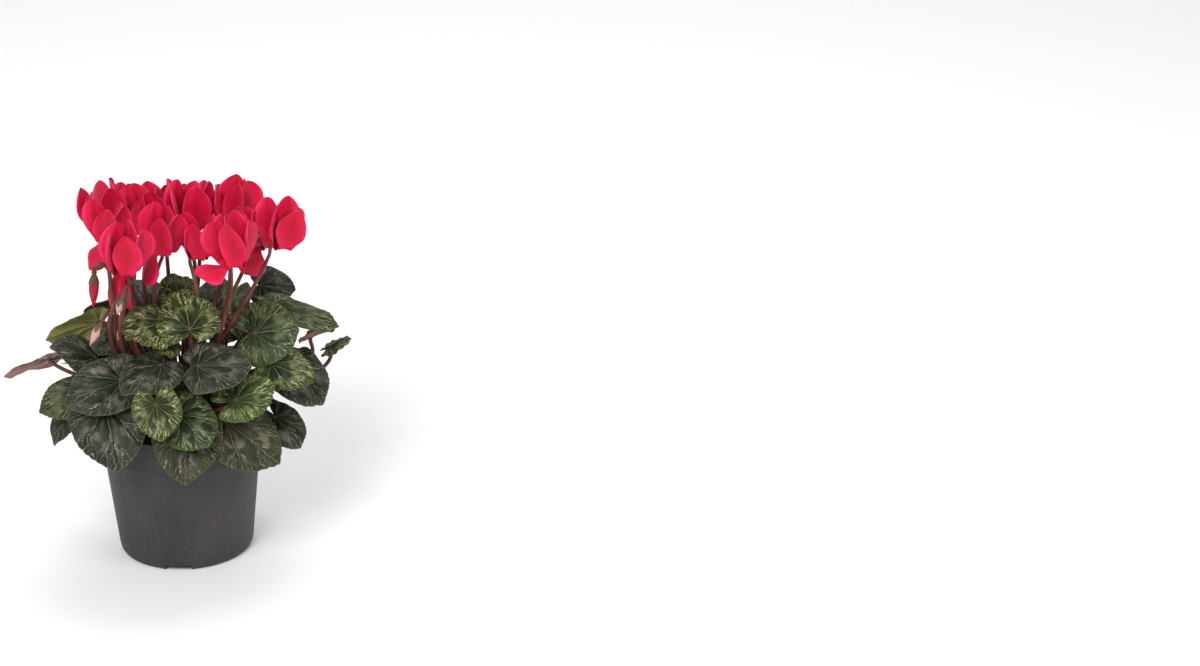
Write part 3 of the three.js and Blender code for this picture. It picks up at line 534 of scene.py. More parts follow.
# The leaves: fleshy kidney- to heart-shaped blades, dark grey-green and marbled in silver
# between pale forked veins, with a finely toothed edge. Young ones are brighter and ruffled.
# Each blade sits on the end of its stalk, and is one thin sheet with its own underside.
BLADES = [
    dict(at=(-47, -46, 124), tip=(-42, -70, 86), face=(-0.1, -0.8, 0.6), wide=0.8, lobe=0.5),
    dict(at=(4, -52, 112), tip=(1, -76, 78), face=(-0.1, -0.8, 0.6), wide=0.82, lobe=0.4, look="worn"),
    dict(at=(28, -48, 108), tip=(62, -62, 81), face=(0.2, -0.75, 0.6), wide=0.76, lobe=0.4, look="worn"),
    dict(at=(-15, -73.5, 134), tip=(-12, -88, 114), face=(0, -0.7, 0.7), wide=0.9, cleft=0.45,
         look="young"),
    dict(at=(-1, -61, 120), tip=(17, -78, 104), face=(0.1, -0.7, 0.7), look="fresh"),
    dict(at=(-10, -42, 147), tip=(-35, -66, 139), face=(-0.15, -0.55, 0.82), wide=0.76, lobe=0.5, cup=0.25),
    dict(at=(12, -50, 148), tip=(48, -53, 147), face=(-0.1, -0.5, 0.85), wide=0.8, lobe=0.5),
    dict(at=(9, -33, 166), tip=(6, -6, 184), face=(0, -0.6, 0.8), wide=0.9, lobe=0.5, wave=0.06,
         look="young"),
    dict(at=(-7, -19, 168), tip=(-31, -40, 165), face=(0, -0.6, 0.8), wide=0.85, lobe=0.3, wave=0.05,
         look="young"),
    dict(at=(4, 4, 175), tip=(0, 22, 183), face=(0, -0.5, 0.85), look="young"),
    dict(at=(50, -16, 154), tip=(80, -20, 157), face=(0.1, -0.75, 0.6), wide=1.05, lobe=0.8,
         look="fresh"),
    dict(at=(60, -26, 136), tip=(86, -39, 128), face=(0.1, -0.7, 0.7), wide=0.8, lobe=0.6, wave=0.06,
         look="young"),
    dict(at=(68, -2, 128), tip=(92, -30, 108), face=(0.3, -0.6, 0.7), wide=0.8, lobe=0.3),
    dict(at=(35, -55, 125), tip=(61, -50, 132), face=(0, -0.7, 0.7), wide=0.84, look="bright"),
    dict(at=(61, -27, 99), tip=(76, -46, 84), face=(0.4, -0.6, 0.6), wide=0.85),
    dict(at=(-35, -40, 137), tip=(-73, -52, 128), face=(-0.15, -0.7, 0.7), wide=0.72, lobe=0.7, cup=0),
    dict(at=(-52, -15, 143), tip=(-79, -25, 156), face=(-0.1, -0.5, 0.9), wide=0.75),
    dict(at=(-39, 0, 152), tip=(-50, -20, 146), face=(0, -0.7, 0.7), wide=0.8),
    dict(at=(-50, 25, 151), tip=(-84, 5, 149), face=(-0.1, 0.9, 0.35), wide=0.5, lobe=0.5,
         under="olive"),
    dict(at=(-63, -20, 122), tip=(-90, -27, 112), face=(-0.2, -0.6, 0.7), wide=0.75, look="fresh"),
    dict(at=(-82, 10, 133), tip=(-111, 0, 127), face=(0, 0.7, 0.75), wide=0.5, under="rose"),
    dict(at=(-72, -5, 104), tip=(-83, -15, 81), face=(-0.7, -0.5, 0.2), wide=0.6, under="olive"),
    dict(at=(-39, 35, 160), tip=(-59, 25, 159), face=(0, 0.7, 0.7), wide=0.9, under="rust"),
    dict(at=(62, 18, 158), tip=(106, 8, 146), face=(0.1, -0.3, 1), wide=0.5, lobe=0.5, look="fresh"),
    dict(at=(57, 41, 164), tip=(80, 38, 161), face=(0, -0.75, 0.65), wide=0.9, lobe=0.6, under="rust"),
    dict(at=(87, 14, 136), tip=(104, 10, 143), face=(-0.1, 0.2, 0.95), wide=0.9, lobe=0.7, cup=-0.6,
         look="young", under="rust"),
    dict(at=(101, 30, 121), tip=(115, 30, 127), face=(0, -0.1, 1), wide=0.8, look="young"),
    dict(at=(40, 4, 156), tip=(32, 10, 180), face=(0.7, -0.5, 0.2), wide=0.4, lobe=0.6, look="bright"),
]
BACK_TIERS = [
    dict(count=5, first=37, step=29, radius=51, height=116, reach=31, drop=17, lobe=0.45),
    dict(count=4, first=40, step=24, radius=41, height=150, reach=28, drop=-15, lobe=0.5),
]
BACK = {"wide": 0.82, "wave": 0.03, "scatter": 2, "swing": 0.12, "roll": 0.32, "turn": 2}
BLADE = {"bend": 0.12, "cup": 0.15, "wave": 0.035, "turn": 0, "wide": 1, "lobe": 1, "cleft": 0.28,
         "look": "old", "under": "dull"}
OUTLINE = {"round": 0.6, "front": 0.27, "tip": 0.13, "tip_spread": 0.25, "notch": 0.95}
SHEET = {
    "thick": 0.45, "teeth": 42, "points": 5, "veins": 9, "waves": 5, "roll": 0.02, "tooth_mean": 0.6,
    "tooth_zone": (0.9, 1), "quilt_mean": 0.45, "quilt_lean": 0.8, "groove": 0.016,
    "groove_wide": 0.09, "groove_start": (0, 0.125), "groove_fade": (1.2, 0.2),
    "pucker_scale": 260, "pucker_shift": 31, "pucker_seed": 3, "pucker_start": (0, 1 / 3),
}
RELIEF = {
    "old": dict(tooth=0.015, quilt=0.0256, pucker=0.0064, ruffle=0.0072),
    "young": dict(tooth=0.0405, quilt=0.0384, pucker=0.012, ruffle=0.0288),
}
# The waves round a blade: how strong, how many, and how far the next blade's are shifted
ROUND = {"drift": (0.6, 3, 1), "vary": (0.35, 7, 1.3), "uneven": (0.022, 2, 1.7),
         "lobed": (0.016, 5, 2.9), "ruffle": (1, 13, 2.3)}
# The veins' widths, and where along a blade the forks and twigs start and spread
VEINS = {"main": 0.030, "narrowing": 0.017, "fork": 0.018, "fork_start": (0.30, 0.38),
         "fork_spread": 0.27, "fork_run": (0.28, 0.95), "twig": 0.014, "twig_start": (0.56, 0.64),
         "twig_spread": 0.13, "twig_run": (0.56, 0.98)}
SHARES = (0.05, 0.12, 0.2, 0.3, 0.4, 0.5, 0.6, 0.69, 0.77, 0.84, 0.9, 0.95, 0.985, 1)

LEAF_LOOKS = {
    "old": dict(deep=(0.007, 0.013, 0.006), flesh=(0.020, 0.029, 0.014), silver=(0.128, 0.120, 0.088),
                vein=(0.255, 0.252, 0.182), edge=(0.095, 0.092, 0.045), marble=0.75, feather=0.12,
                margin=0.12),
    "worn": dict(deep=(0.011, 0.013, 0.005), flesh=(0.034, 0.038, 0.015), silver=(0.145, 0.128, 0.088),
                 vein=(0.255, 0.232, 0.160), edge=(0.080, 0.085, 0.025), marble=0.8, feather=0.12,
                 margin=0.2),
    "fresh": dict(deep=(0.008, 0.015, 0.004), flesh=(0.026, 0.041, 0.010), silver=(0.135, 0.155, 0.068),
                  vein=(0.255, 0.285, 0.150), edge=(0.075, 0.110, 0.018), marble=0.6, feather=0.8,
                  margin=0.35),
    "young": dict(deep=(0.009, 0.017, 0.004), flesh=(0.029, 0.042, 0.010), silver=(0.180, 0.196, 0.080),
                  vein=(0.405, 0.415, 0.185), edge=(0.085, 0.115, 0.020), marble=0.65, feather=1.0,
                  margin=0.45),
    "bright": dict(deep=(0.010, 0.021, 0.005), flesh=(0.030, 0.052, 0.010), silver=(0.165, 0.205, 0.072),
                   vein=(0.380, 0.430, 0.175), edge=(0.085, 0.130, 0.020), marble=0.5, feather=0.95,
                   margin=0.5),
}
UNDERSIDES = {
    "dull": dict(flesh=(0.095, 0.090, 0.040), flush=(0.115, 0.050, 0.032), vein=(0.165, 0.120, 0.075)),
    "olive": dict(flesh=(0.340, 0.350, 0.105), flush=(0.240, 0.230, 0.075), vein=(0.400, 0.400, 0.170)),
    "rose": dict(flesh=(0.420, 0.270, 0.210), flush=(0.320, 0.140, 0.120), vein=(0.480, 0.330, 0.270)),
    "rust": dict(flesh=(0.260, 0.110, 0.060), flush=(0.160, 0.055, 0.034), vein=(0.320, 0.170, 0.110)),
}
LEAF_HEART = (0.10, 0.045, 0.03)
HASH = (12.9898, 78.233, 43758.5453)


def scatter(k, salt):
    """A fixed scatter between -1 and 1 for the k-th thing"""
    value = math.sin(k * HASH[0] + salt * HASH[1]) * HASH[2]
    return 2 * (value - math.floor(value)) - 1


def back_blades():
    """The leaves behind the crown, in tiers with a fixed scatter"""
    blades = []
    for tier in BACK_TIERS:
        reach, drop, salt = tier["reach"], tier["drop"], tier["height"]
        for k in range(tier["count"]):
            heading = math.radians(tier["first"] + k * tier["step"] + BACK["scatter"] * scatter(k, salt))
            height = tier["height"] + BACK["scatter"] * scatter(k, salt + 1)
            swing = heading + BACK["swing"] * scatter(k, salt + 2)
            blades.append(dict(
                at=polar(tier["radius"], heading, height),
                tip=polar(tier["radius"] + reach, swing, height - drop),
                face=polar(drop / reach, heading, 1) + polar(BACK["roll"], heading + TURN / 4, 0),
                wide=BACK["wide"], lobe=tier["lobe"], wave=BACK["wave"],
                turn=BACK["turn"] * scatter(k, salt + 3),
            ))
    return blades


def blade_frame(blade):
    """Where a blade sits, the ways of its tip, its upper face and its side, and its length"""
    at = np.array(blade["at"], float)
    along = np.array(blade["tip"], float) - at
    length = np.linalg.norm(along)
    along = along / length
    normal = np.array(blade["face"], float)
    normal = unit(normal - along * (normal @ along))
    return at, along, normal, np.cross(normal, along), length


def outline(angle, cleft):
    """How far a blade reaches at an angle from its tip, as a share of its length"""
    a = np.abs(angle)
    body = OUTLINE["round"] + OUTLINE["front"] * ((1 + np.cos(a)) / 2) ** 2
    body = body + OUTLINE["tip"] * np.exp(-a / OUTLINE["tip_spread"])
    return body * (1 - OUTLINE["notch"] * np.exp(-(((math.pi - a) / cleft) ** 2)))


def round_wave(name, angle, k):
    size, count, shift = ROUND[name]
    return size * np.sin(count * angle + shift * k)


def blade_surface(blade, k, angle, share):
    """Points of a blade's middle sheet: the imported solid's form, then teeth, veins and ruffles"""
    shape = {**BLADE, **blade}
    relief = RELIEF["young" if shape["look"] in ("young", "bright") else "old"]
    at, along, normal, side, length = blade_frame(blade)
    full = outline(angle, shape["cleft"])
    open_edge = np.minimum(full / OUTLINE["round"], 1)
    teeth = np.abs(np.sin(SHEET["teeth"] * angle / 2 + round_wave("drift", angle, k)))
    tooth = relief["tooth"] * (1 + round_wave("vary", angle, k)) * (teeth - SHEET["tooth_mean"])
    tooth = tooth * ramp(share, *SHEET["tooth_zone"]) * open_edge
    uneven = round_wave("uneven", angle, k) + round_wave("lobed", angle, k)
    reach = full * share * (1 + tooth + uneven * share * open_edge)
    x = reach * np.cos(angle) * np.where(np.cos(angle) < 0, shape["lobe"], 1)
    y = reach * np.sin(angle) * shape["wide"]
    z = shape["bend"] * (np.maximum(x, 0) - x * x) - shape["cup"] * y * y
    z += shape["wave"] * share ** 3 * open_edge * np.sin(SHEET["waves"] * angle + shape["turn"])
    spoke = angle / TURN * SHEET["veins"]
    off = spoke - np.round(spoke)
    pillow = np.sin(math.pi * off) ** 2 - SHEET["quilt_mean"]
    z += relief["quilt"] * pillow * np.sin(math.pi * share ** SHEET["quilt_lean"]) * open_edge
    groove = SHEET["groove"] * np.exp(-((off / SHEET["groove_wide"]) ** 2))
    z -= groove * ramp(share, *SHEET["groove_start"]) * ramp(share, *SHEET["groove_fade"])
    scale, shift = SHEET["pucker_scale"], SHEET["pucker_shift"] * k
    pucker = ripples(x * scale + shift, y * scale, SHEET["pucker_seed"])
    z += relief["pucker"] * pucker * ramp(share, *SHEET["pucker_start"])
    z += relief["ruffle"] * share ** 4 * open_edge * round_wave("ruffle", angle, k)
    z -= SHEET["roll"] * share ** 8 * open_edge
    place = at + length * (x[..., None] * along + y[..., None] * side + z[..., None] * normal)
    return place, normal


def leaf_pattern(paint):
    """The forked veins of a blade from its polar UV map: turn round the stalk's end and share"""
    polar_map, turn, share = paint.uv("polar")
    wobble = (paint.noise(130, detail=2) - 0.5) * 0.42 + (paint.noise(420, detail=2) - 0.5) * 0.2
    spoke = (turn - 0.5) * SHEET["veins"] + wobble * paint.step(share, 0.03, 0.45)
    off = abs(spoke - spoke.math("ROUND"))

    def line(distance, width):
        return paint.step(distance * share / width, 0.35, 1.0, start=1, end=0)

    fork = abs(off - VEINS["fork_spread"] * paint.step(share, *VEINS["fork_run"]))
    twig = abs(fork - VEINS["twig_spread"] * paint.step(share, *VEINS["twig_run"]))
    main = line(off, VEINS["main"] - VEINS["narrowing"] * share)
    forks = line(fork, VEINS["fork"]) * paint.step(share, *VEINS["fork_start"])
    twigs = line(twig, VEINS["twig"]) * paint.step(share, *VEINS["twig_start"])
    streaks = paint.noise(1, detail=2, stretch=(58, 3.4, 1), places=polar_map, rough=0.55)
    return share, off, main, forks, twigs, streaks


def leaf_finish(name, deep, flesh, silver, vein, edge, marble, feather, margin):
    paint = Finish(name)
    share, off, main, forks, twigs, streaks = leaf_pattern(paint)
    cloud = paint.noise(70)
    grain = paint.noise(700, detail=4, rough=0.65)
    patch = paint.noise(125)
    color = paint.mix(paint.step(cloud * 0.6 + grain * 0.4, 0.38, 0.62), deep, flesh)
    color = paint.mix(paint.step(share, 0.55, 0.1) * 0.6, color, deep)
    window = paint.band(share, 0.36, 0.54, 0.72, 0.90)
    blotch = window * paint.step(off, 0.06, 0.22) * paint.step(patch, 0.47, 0.59)
    color = paint.mix(blotch * marble * (0.5 + 0.7 * grain), color, silver)
    rim = paint.step(share, 0.8, 1.0) * margin * (0.4 + 0.5 * patch)
    color = paint.mix(rim, color, edge)
    squiggle = paint.step(streaks, 0.57, 0.63) * paint.band(share, 0.55, 0.72, 0.9, 0.97)
    fade = paint.step(paint.noise(200, detail=2), 0.36, 0.58, start=0.3, end=1)
    tips = paint.step(share, 0.3, 0.75, start=0.6, end=1)
    lines = (main * 0.85 * tips).math("MAXIMUM", forks * tips * fade)
    lines = lines.math("MAXIMUM", twigs * fade * (0.65 + 0.35 * feather))
    lines = lines.math("MAXIMUM", squiggle * feather * fade)
    color = paint.mix(lines * (0.76 + 0.14 * feather), color, vein)
    color = paint.mix(paint.step(share, 0.974, 0.992) * 0.7, color, edge)
    color = paint.mix(paint.step(share, 0.02, 0.08, start=0.7, end=0), color, LEAF_HEART)
    rough = 0.34 + 0.2 * grain
    height = grain * 0.3 - main * 0.5 - forks * 0.35 - twigs * 0.2 + patch * 0.4
    return paint.shade(color, rough, height, depth=0.0007, Specular_IOR_Level=0.2)


def underside_finish(name, flesh, flush, vein):
    paint = Finish(name)
    share, _, main, forks, *_ = leaf_pattern(paint)
    grain = paint.noise(500)
    color = paint.mix(paint.step(paint.noise(65), 0.35, 0.65), flesh, flush)
    color = paint.mix(main.math("MAXIMUM", forks * 0.7) * 0.75, color, vein)
    color = paint.mix(grain * 0.25, color, flush)
    color = paint.mix(paint.step(share, 0.9, 1) * 0.5, color, flush)
    return paint.shade(color, 0.5 + 0.15 * grain, main + forks * 0.6 + grain * 0.2, depth=0.0006)


def blade_sheet(blade, k, fine=SHEET["points"], shares=SHARES):
    """The points, faces, finish slots and polar map of one blade's two faces and rim"""
    n = SHEET["teeth"] * fine
    rows = len(shares)
    angle = np.arange(n) / n * TURN - math.pi
    grid, normal = blade_surface(blade, k, angle[None], np.array(shares)[:, None])
    sheet = np.concatenate([[blade["at"]], grid.reshape(-1, 3)])
    half = normal * SHEET["thick"] / 2

    def corner(row, i, below=0):
        return below + 1 + row * n + i % n, i / n, shares[row]

    upper = []
    for i in range(n):
        upper.append([(0, (i + 0.5) / n, 0), corner(0, i), corner(0, i + 1)])
        for row in range(rows - 1):
            upper.append([corner(row, i), corner(row + 1, i), corner(row + 1, i + 1), corner(row, i + 1)])
    lower = [[(v + len(sheet), s, t) for v, s, t in reversed(loop)] for loop in upper]
    rim = [[corner(rows - 1, i + 1), corner(rows - 1, i), corner(rows - 1, i, len(sheet)),
            corner(rows - 1, i + 1, len(sheet))] for i in range(n)]
    loops = upper + lower + rim
    faces = [[v for v, s, t in loop] for loop in loops]
    maps = [np.array([(s, t) for v, s, t in loop]) for loop in loops]
    slots = [0] * len(upper) + [1] * len(lower) + [0] * len(rim)
    return np.concatenate([sheet + half, sheet - half]), faces, slots, maps


blades = BLADES + back_blades()
leaf_tops = {look: leaf_finish(f"{look}_leaf", **values) for look, values in LEAF_LOOKS.items()}
leaf_backs = {}
for under, values in UNDERSIDES.items():
    leaf_backs[under] = underside_finish(f"{under}_underside", **values)
for k, blade in enumerate(blades):
    shape = {**BLADE, **blade}
    sheets = Sheets()
    sheets.add(*blade_sheet(blade, k))
    finishes = [leaf_tops[shape["look"]], leaf_backs[shape["under"]]]
    dress(sheets.piece(f"blade_{k + 1:02d}", finishes, "polar"), "leaf", f"leaf_{k + 1:02d}")

# The blooms: each a small cup that faces down, with five broad petals swept straight up from
# its mouth and twisted like a propeller. Crimson and satin-soft, with a sheen that turns pinker
# where the light grazes them, a painted pink highlight along the rims, painted shade darkening
# the trough and a darker eye at the base. A few petals hang instead of sweeping up.
BLOOMS = [
    dict(mouth=(-41, 18, 220), lean=(-7, 0), spin=20),
    dict(mouth=(-35, 44, 209), lean=(1, 3), spin=75),
    dict(mouth=(-40, -12, 221), lean=(3, 0), spin=50, size=0.9, hang=(2, 20, 0.64)),
    dict(mouth=(-30, -37, 211), lean=(2, -4), spin=62),
    dict(mouth=(-14, 20, 215), lean=(-3, 2), spin=95),
    dict(mouth=(-6, -12, 213), lean=(0, -1), spin=54, hang=(2, 30, 0.66)),
    dict(mouth=(-5, 49, 207), lean=(-2, 4), spin=30),
    dict(mouth=(12, 23, 216), lean=(1, 2), spin=10),
    dict(mouth=(20, 53, 204), lean=(0, 4), spin=80),
    dict(mouth=(17.5, -5, 206), lean=(3, -2), spin=50, size=0.88),
    dict(mouth=(38, -40, 214), lean=(-2, -4), spin=66, hang=(2, 96, 0.72)),
    dict(mouth=(43, 38, 211), lean=(3, 4), spin=40),
    dict(mouth=(43, -11, 208), lean=(-1, 0), spin=70, size=0.93),
    dict(mouth=(56, 13, 203), lean=(-1, 1), spin=36, size=0.95, hang=(3, 60, 0.7)),
    dict(mouth=(70, -11, 213), lean=(7, -1), spin=70),
]
OPENING = dict(mouth=(-32, -17, 204), lean=(3, -4), spin=70, size=0.78, sweep=14, slim=0.7, flare=0.0015,
               hook=2.2)
PETAL = {
    "count": 5, "length": 34, "half_width": 9.5, "base_width": 0.36, "root_radius": 4.1,
    "root_height": 0.7, "curl": 2.1, "sweep": 176, "flare": -0.0008, "twist": 27, "twisted": 0.5,
    "trough": 2.3, "narrow": 0.05, "widest": 0.56, "roundness": 2.1, "fullness": 0.64, "thick": 0.4,
    "rows": 34, "columns": 19, "crowd": 1.15, "throat": 0.2, "ruffle": 0.85, "ruffle_waves": (8, 2),
    "cockle": 0.45, "cockle_waves": (4, 7), "splay": (5.4, 6.6), "veer": 6, "turn": 15, "grow": 0.08,
    "sway": 4.5, "hollow": 1.3, "nod": 1.2, "fold": 0.9, "fold_from": 0.78,
}
CUP = [(0, 7), (2.6, 6.2), (3.4, 4.6), (3.6, 0.4), (3.9, 0), (4.7, 0.1), (5.1, 1.8), (5.2, 3.8),
       (4.6, 6.2), (2.8, 8), (0, 8.6)]
CUP_SIDES = 40
# The pink is a painted highlight along the petals' rims and also lightens the ribs; deep colours the eye
# and the dark ribs, and also paints the shade in the trough.
PETAL_LOOK = dict(deep=(0.275, 0.001, 0.016), full=(0.540, 0.002, 0.030), highlight_and_rib_pink=(0.780, 0.026, 0.135),
                  edge=(0.640, 0.004, 0.052))
THROAT_LOOK = dict(dark=(0.20, 0.006, 0.022), light=(0.42, 0.02, 0.06))


def bloom_frame(bloom):
    """A bloom's mouth, the axis up through it, the ways right and back, and its size"""
    lean_x, lean_y = bloom["lean"]
    up = unit(np.array((math.tan(math.radians(lean_x)), math.tan(math.radians(lean_y)), 1)))
    right = unit(np.array((1, 0, 0)) - up * up[0])
    return np.array(bloom["mouth"], float), up, right, np.cross(up, right), bloom.get("size", 1)


def bloom_place(place, out, angle, height):
    """A place in a bloom's own frame: out from its axis at an angle, and up along the axis"""
    mouth, up, right, back, size = place
    out, height = np.asarray(out)[..., None], np.asarray(height)[..., None]
    around = right * np.cos(angle) + back * np.sin(angle)
    return mouth + size * (out * around + height * up)


def petal_line(run, sweep, flare):
    """A petal's middle line, which curls round its root and goes on straight, and its normal"""
    turn = math.radians(sweep)
    bent = PETAL["curl"] * turn
    angle = np.minimum(run / PETAL["curl"], turn)
    beyond = np.maximum(run - bent, 0)
    lift = flare * beyond * beyond
    normal = (-np.cos(angle), -np.sin(angle))
    out = PETAL["root_radius"] + PETAL["curl"] * (1 - np.cos(angle)) + beyond * np.sin(angle)
    height = PETAL["root_height"] - PETAL["curl"] * np.sin(angle) - beyond * np.cos(angle)
    return out + lift * normal[0], height + lift * normal[1], normal


def petal_width(share):
    """A petal's width along its length, as a share of the widest"""
    swell = np.sin(math.pi / 2 * ramp(share, PETAL["narrow"], PETAL["widest"])) ** 2
    fall = np.maximum((share - PETAL["widest"]) / (1 - PETAL["widest"]), 0)
    full = np.maximum(1 - fall ** PETAL["roundness"], 0) ** PETAL["fullness"]
    return (PETAL["base_width"] + (1 - PETAL["base_width"]) * swell) * full


def petals_of(bloom):
    """A bloom's petals. The one that hangs has its own sweep and length."""
    hang = bloom.get("hang", (None, 0, 1))
    petals = []
    for i in range(PETAL["count"]):
        hangs = hang[0] == i
        petals.append(dict(
            angle=math.radians(bloom["spin"]) + i / PETAL["count"] * TURN,
            sweep=hang[1] if hangs else bloom.get("sweep", PETAL["sweep"]),
            length=PETAL["length"] * (hang[2] if hangs else 1),
            slim=bloom.get("slim", 1), flare=bloom.get("flare", PETAL["flare"]),
        ))
    return petals


def petal_sheet(place, petal, seed):
    """A petal's two faces and its map, rows from the mouth to the tip. No two are quite alike."""
    draw = np.random.default_rng(seed)
    phase = draw.uniform(0, TURN)
    splay, veer, turn, grow, sway, hollow, nod = draw.uniform(-1, 1, 7)
    sweep = petal["sweep"] - (PETAL["splay"][0] + PETAL["splay"][1] * splay)
    heading = petal["angle"] + math.radians(PETAL["veer"]) * veer
    length = petal["length"] * (1 + PETAL["grow"] * grow)
    rows = np.sin(np.linspace(0, math.pi / 2, PETAL["rows"])) ** PETAL["crowd"]
    share, across = grid_of(rows, np.linspace(-1, 1, PETAL["columns"]))
    out, height, normal = petal_line(length * share, sweep, petal["flare"])
    wide = petal_width(share)
    width = PETAL["half_width"] * petal["slim"] * wide * across
    twist = math.radians(PETAL["twist"] + PETAL["turn"] * turn) * ramp(share, 0, PETAL["twisted"])
    grown = ramp(share, PETAL["throat"], 1)
    (up, over), (rise, side) = PETAL["ruffle_waves"], PETAL["cockle_waves"]
    ruffle = np.abs(across) ** 3 * np.sin(up * share + phase + over * across)
    cockle = np.sin(side * across + rise * share + phase) * wide
    lift = width * np.sin(twist)
    lift = lift + (PETAL["trough"] + PETAL["hollow"] * hollow) * wide * (across * across - 0.5)
    lift = lift + grown * (PETAL["ruffle"] * ruffle + PETAL["cockle"] * cockle)
    lift = lift - PETAL["nod"] * (1 + nod) * grown ** 3
    lift = lift + PETAL["fold"] * wide * grown * ramp(np.abs(across), PETAL["fold_from"], 1) ** 2
    around = width * np.cos(twist) + PETAL["sway"] * sway * grown ** 2
    mouth, *_, size = place
    middle = bloom_place(place, out + lift * normal[0], heading, height + lift * normal[1])
    tangent = unit(bloom_place(place, 1, heading + TURN / 4, 0) - mouth)
    surface = middle + tangent * (around * size)[..., None]
    outward = bloom_place(place, normal[0], heading, normal[1]) - mouth
    outward = outward / np.linalg.norm(outward, axis=-1, keepdims=True)
    half = outward * PETAL["thick"] / 2
    flat = np.stack([across / 2 + 0.5, share], -1).reshape(-1, 2)
    return np.concatenate([surface + half, surface - half]), np.concatenate([flat, flat])


def sheet_faces(rows, columns):
    """Both faces and the rim of a grid's front and back, the points of the back after the front's"""
    grid = np.arange(rows * columns).reshape(rows, columns)
    front = [(a, a + 1, a + columns + 1, a + columns) for a in grid[:-1, :-1].ravel().tolist()]
    back = [tuple(v + grid.size for v in reversed(quad)) for quad in front]
    border = np.concatenate([grid[0], grid[1:, -1], grid[-1, -2::-1], grid[-2:0:-1, 0]]).tolist()
    rim = [(b, a, a + grid.size, b + grid.size) for a, b in zip(border, border[1:] + border[:1])]
    return front + back + rim


def petal_finish(name, deep, full, highlight_and_rib_pink, edge):
    paint = Finish(name)
    petal_map, across, along = paint.uv("petal")
    off = abs(across - 0.5) * 2
    ribs = paint.noise(1, stretch=(38, 2.0, 1), places=petal_map, rough=0.6)
    mottle = paint.noise(75)
    # Painted shade: the trough down each petal's middle is darkened, standing in for the shade in its
    # crease.
    trough = paint.step(off, 0.0, 0.75, start=1, end=0) * paint.band(along, 0.10, 0.38, 0.62, 0.98)
    color = paint.mix(paint.step(mottle * 0.65 + ribs * 0.35, 0.38, 0.62), full, edge)
    color = paint.mix(trough * (0.22 + 0.5 * mottle), color, deep)
    # Painted highlight: the rims are turned pink, standing in for the light that grazes them.
    rim = paint.step(off, 0.72, 0.98) * paint.step(along, 0.25, 0.5)
    color = paint.mix(rim * (0.3 + 0.7 * mottle), color, highlight_and_rib_pink)
    color = paint.mix(paint.step(ribs, 0.5, 0.72) * 0.12, color, highlight_and_rib_pink)
    color = paint.mix(paint.step(ribs, 0.5, 0.3) * 0.2, color, deep)
    color = paint.mix(paint.step(along, 0.0, 0.14, start=0.75, end=0), color, deep)
    rough = 0.46 + 0.14 * ribs
    return paint.shade(color, rough, ribs * 0.7 + mottle * 0.3, depth=0.0005, Sheen_Weight=0.1,
                       Sheen_Roughness=0.4, Sheen_Tint=(1.0, 0.45, 0.65), Specular_IOR_Level=0.25)


def cup_finish(name, dark, light):
    paint = Finish(name)
    veins = paint.noise(320, stretch=(1, 1, 0.3))
    return paint.shade(paint.mix(veins, dark, light), 0.5, veins, depth=0.0003)


def make_bloom(name, node, bloom, materials, seed):
    place = bloom_frame(bloom)
    sheets = Sheets()
    faces = sheet_faces(PETAL["rows"], PETAL["columns"])
    for i, petal in enumerate(petals_of(bloom)):
        points, flat = petal_sheet(place, petal, seed * 10 + i)
        sheets.add(points, faces, 0, [flat[list(face)] for face in faces])
    cup = [bloom_place(place, r, i / CUP_SIDES * TURN, z) for r, z in CUP for i in range(CUP_SIDES)]
    sheets.add(cup, band_faces(len(CUP) - 1, CUP_SIDES), 1)
    piece = sheets.piece(name, materials, "petal")
    mend(piece.data)
    dress(piece, "petal", node)


petal_finishes = [petal_finish("crimson_petal", **PETAL_LOOK), cup_finish("flower_cup", **THROAT_LOOK)]
for k, bloom in enumerate(BLOOMS):
    make_bloom(f"flower_{k + 1:02d}", f"bloom_{k + 1:02d}", bloom, petal_finishes, k)
make_bloom("half_open_flower", "opening_flower", OPENING, petal_finishes, len(BLOOMS))

# The buds: closed spindles that hang from a bent neck, their five petals still rolled into a
# point like a furled umbrella, in a small calyx of pointed sepals.
BUDS = [
    dict(calyx=(-49, -24, 205), tip=(-51, -24, 180), radius=3.2, hook=0, rise=5, look="ripe"),
    dict(calyx=(-32, -47, 196), tip=(-36, -48, 185), radius=2.6, hook=50, rise=2, look="pale",
         sepal=0.5),
    dict(calyx=(-46, -26, 172), tip=(-55, -30, 157), radius=2.9, hook=20, rise=3.5, look="pale",
         sepal=0.45),
    dict(calyx=(-33, -24, 168), tip=(-37, -28, 159), radius=2.2, hook=40, rise=3, look="pale",
         sepal=0.5),
]
SPINDLE = {"rings": 34, "sides": 60, "blunt": 0.02, "fullness": 0.8, "furrow": 0.13, "turns": 0.55,
           "smooth": 0.05, "aside": (0.3, 1, 0.1)}
SEPAL = {"count": 5, "long": 0.34, "wide": 0.62, "proud": 0.25, "rows": 8, "columns": 5, "thick": 0.24,
         "start": 0.02, "taper": 0.7, "least": 0.35, "flare": 0.4}
BUD_LOOKS = {
    "ripe": dict(root=(0.160, 0.012, 0.014), body=(0.400, 0.005, 0.032), tip=(0.460, 0.008, 0.045)),
    "pale": dict(root=(0.300, 0.175, 0.100), body=(0.600, 0.370, 0.320), tip=(0.640, 0.270, 0.280)),
}
STALK_LOOKS = {
    "calyx": dict(dark=(0.070, 0.045, 0.020), light=(0.135, 0.085, 0.040), green=(0.110, 0.110, 0.035)),
    "leaf_stalk": dict(dark=(0.070, 0.021, 0.016), light=(0.150, 0.050, 0.036),
                       green=(0.110, 0.075, 0.038)),
    "flower_stalk": dict(dark=(0.085, 0.023, 0.019), light=(0.180, 0.056, 0.044),
                         green=(0.125, 0.085, 0.045)),
    "corm_skin": dict(dark=(0.035, 0.020, 0.014), light=(0.085, 0.050, 0.034),
                      green=(0.060, 0.050, 0.025)),
}


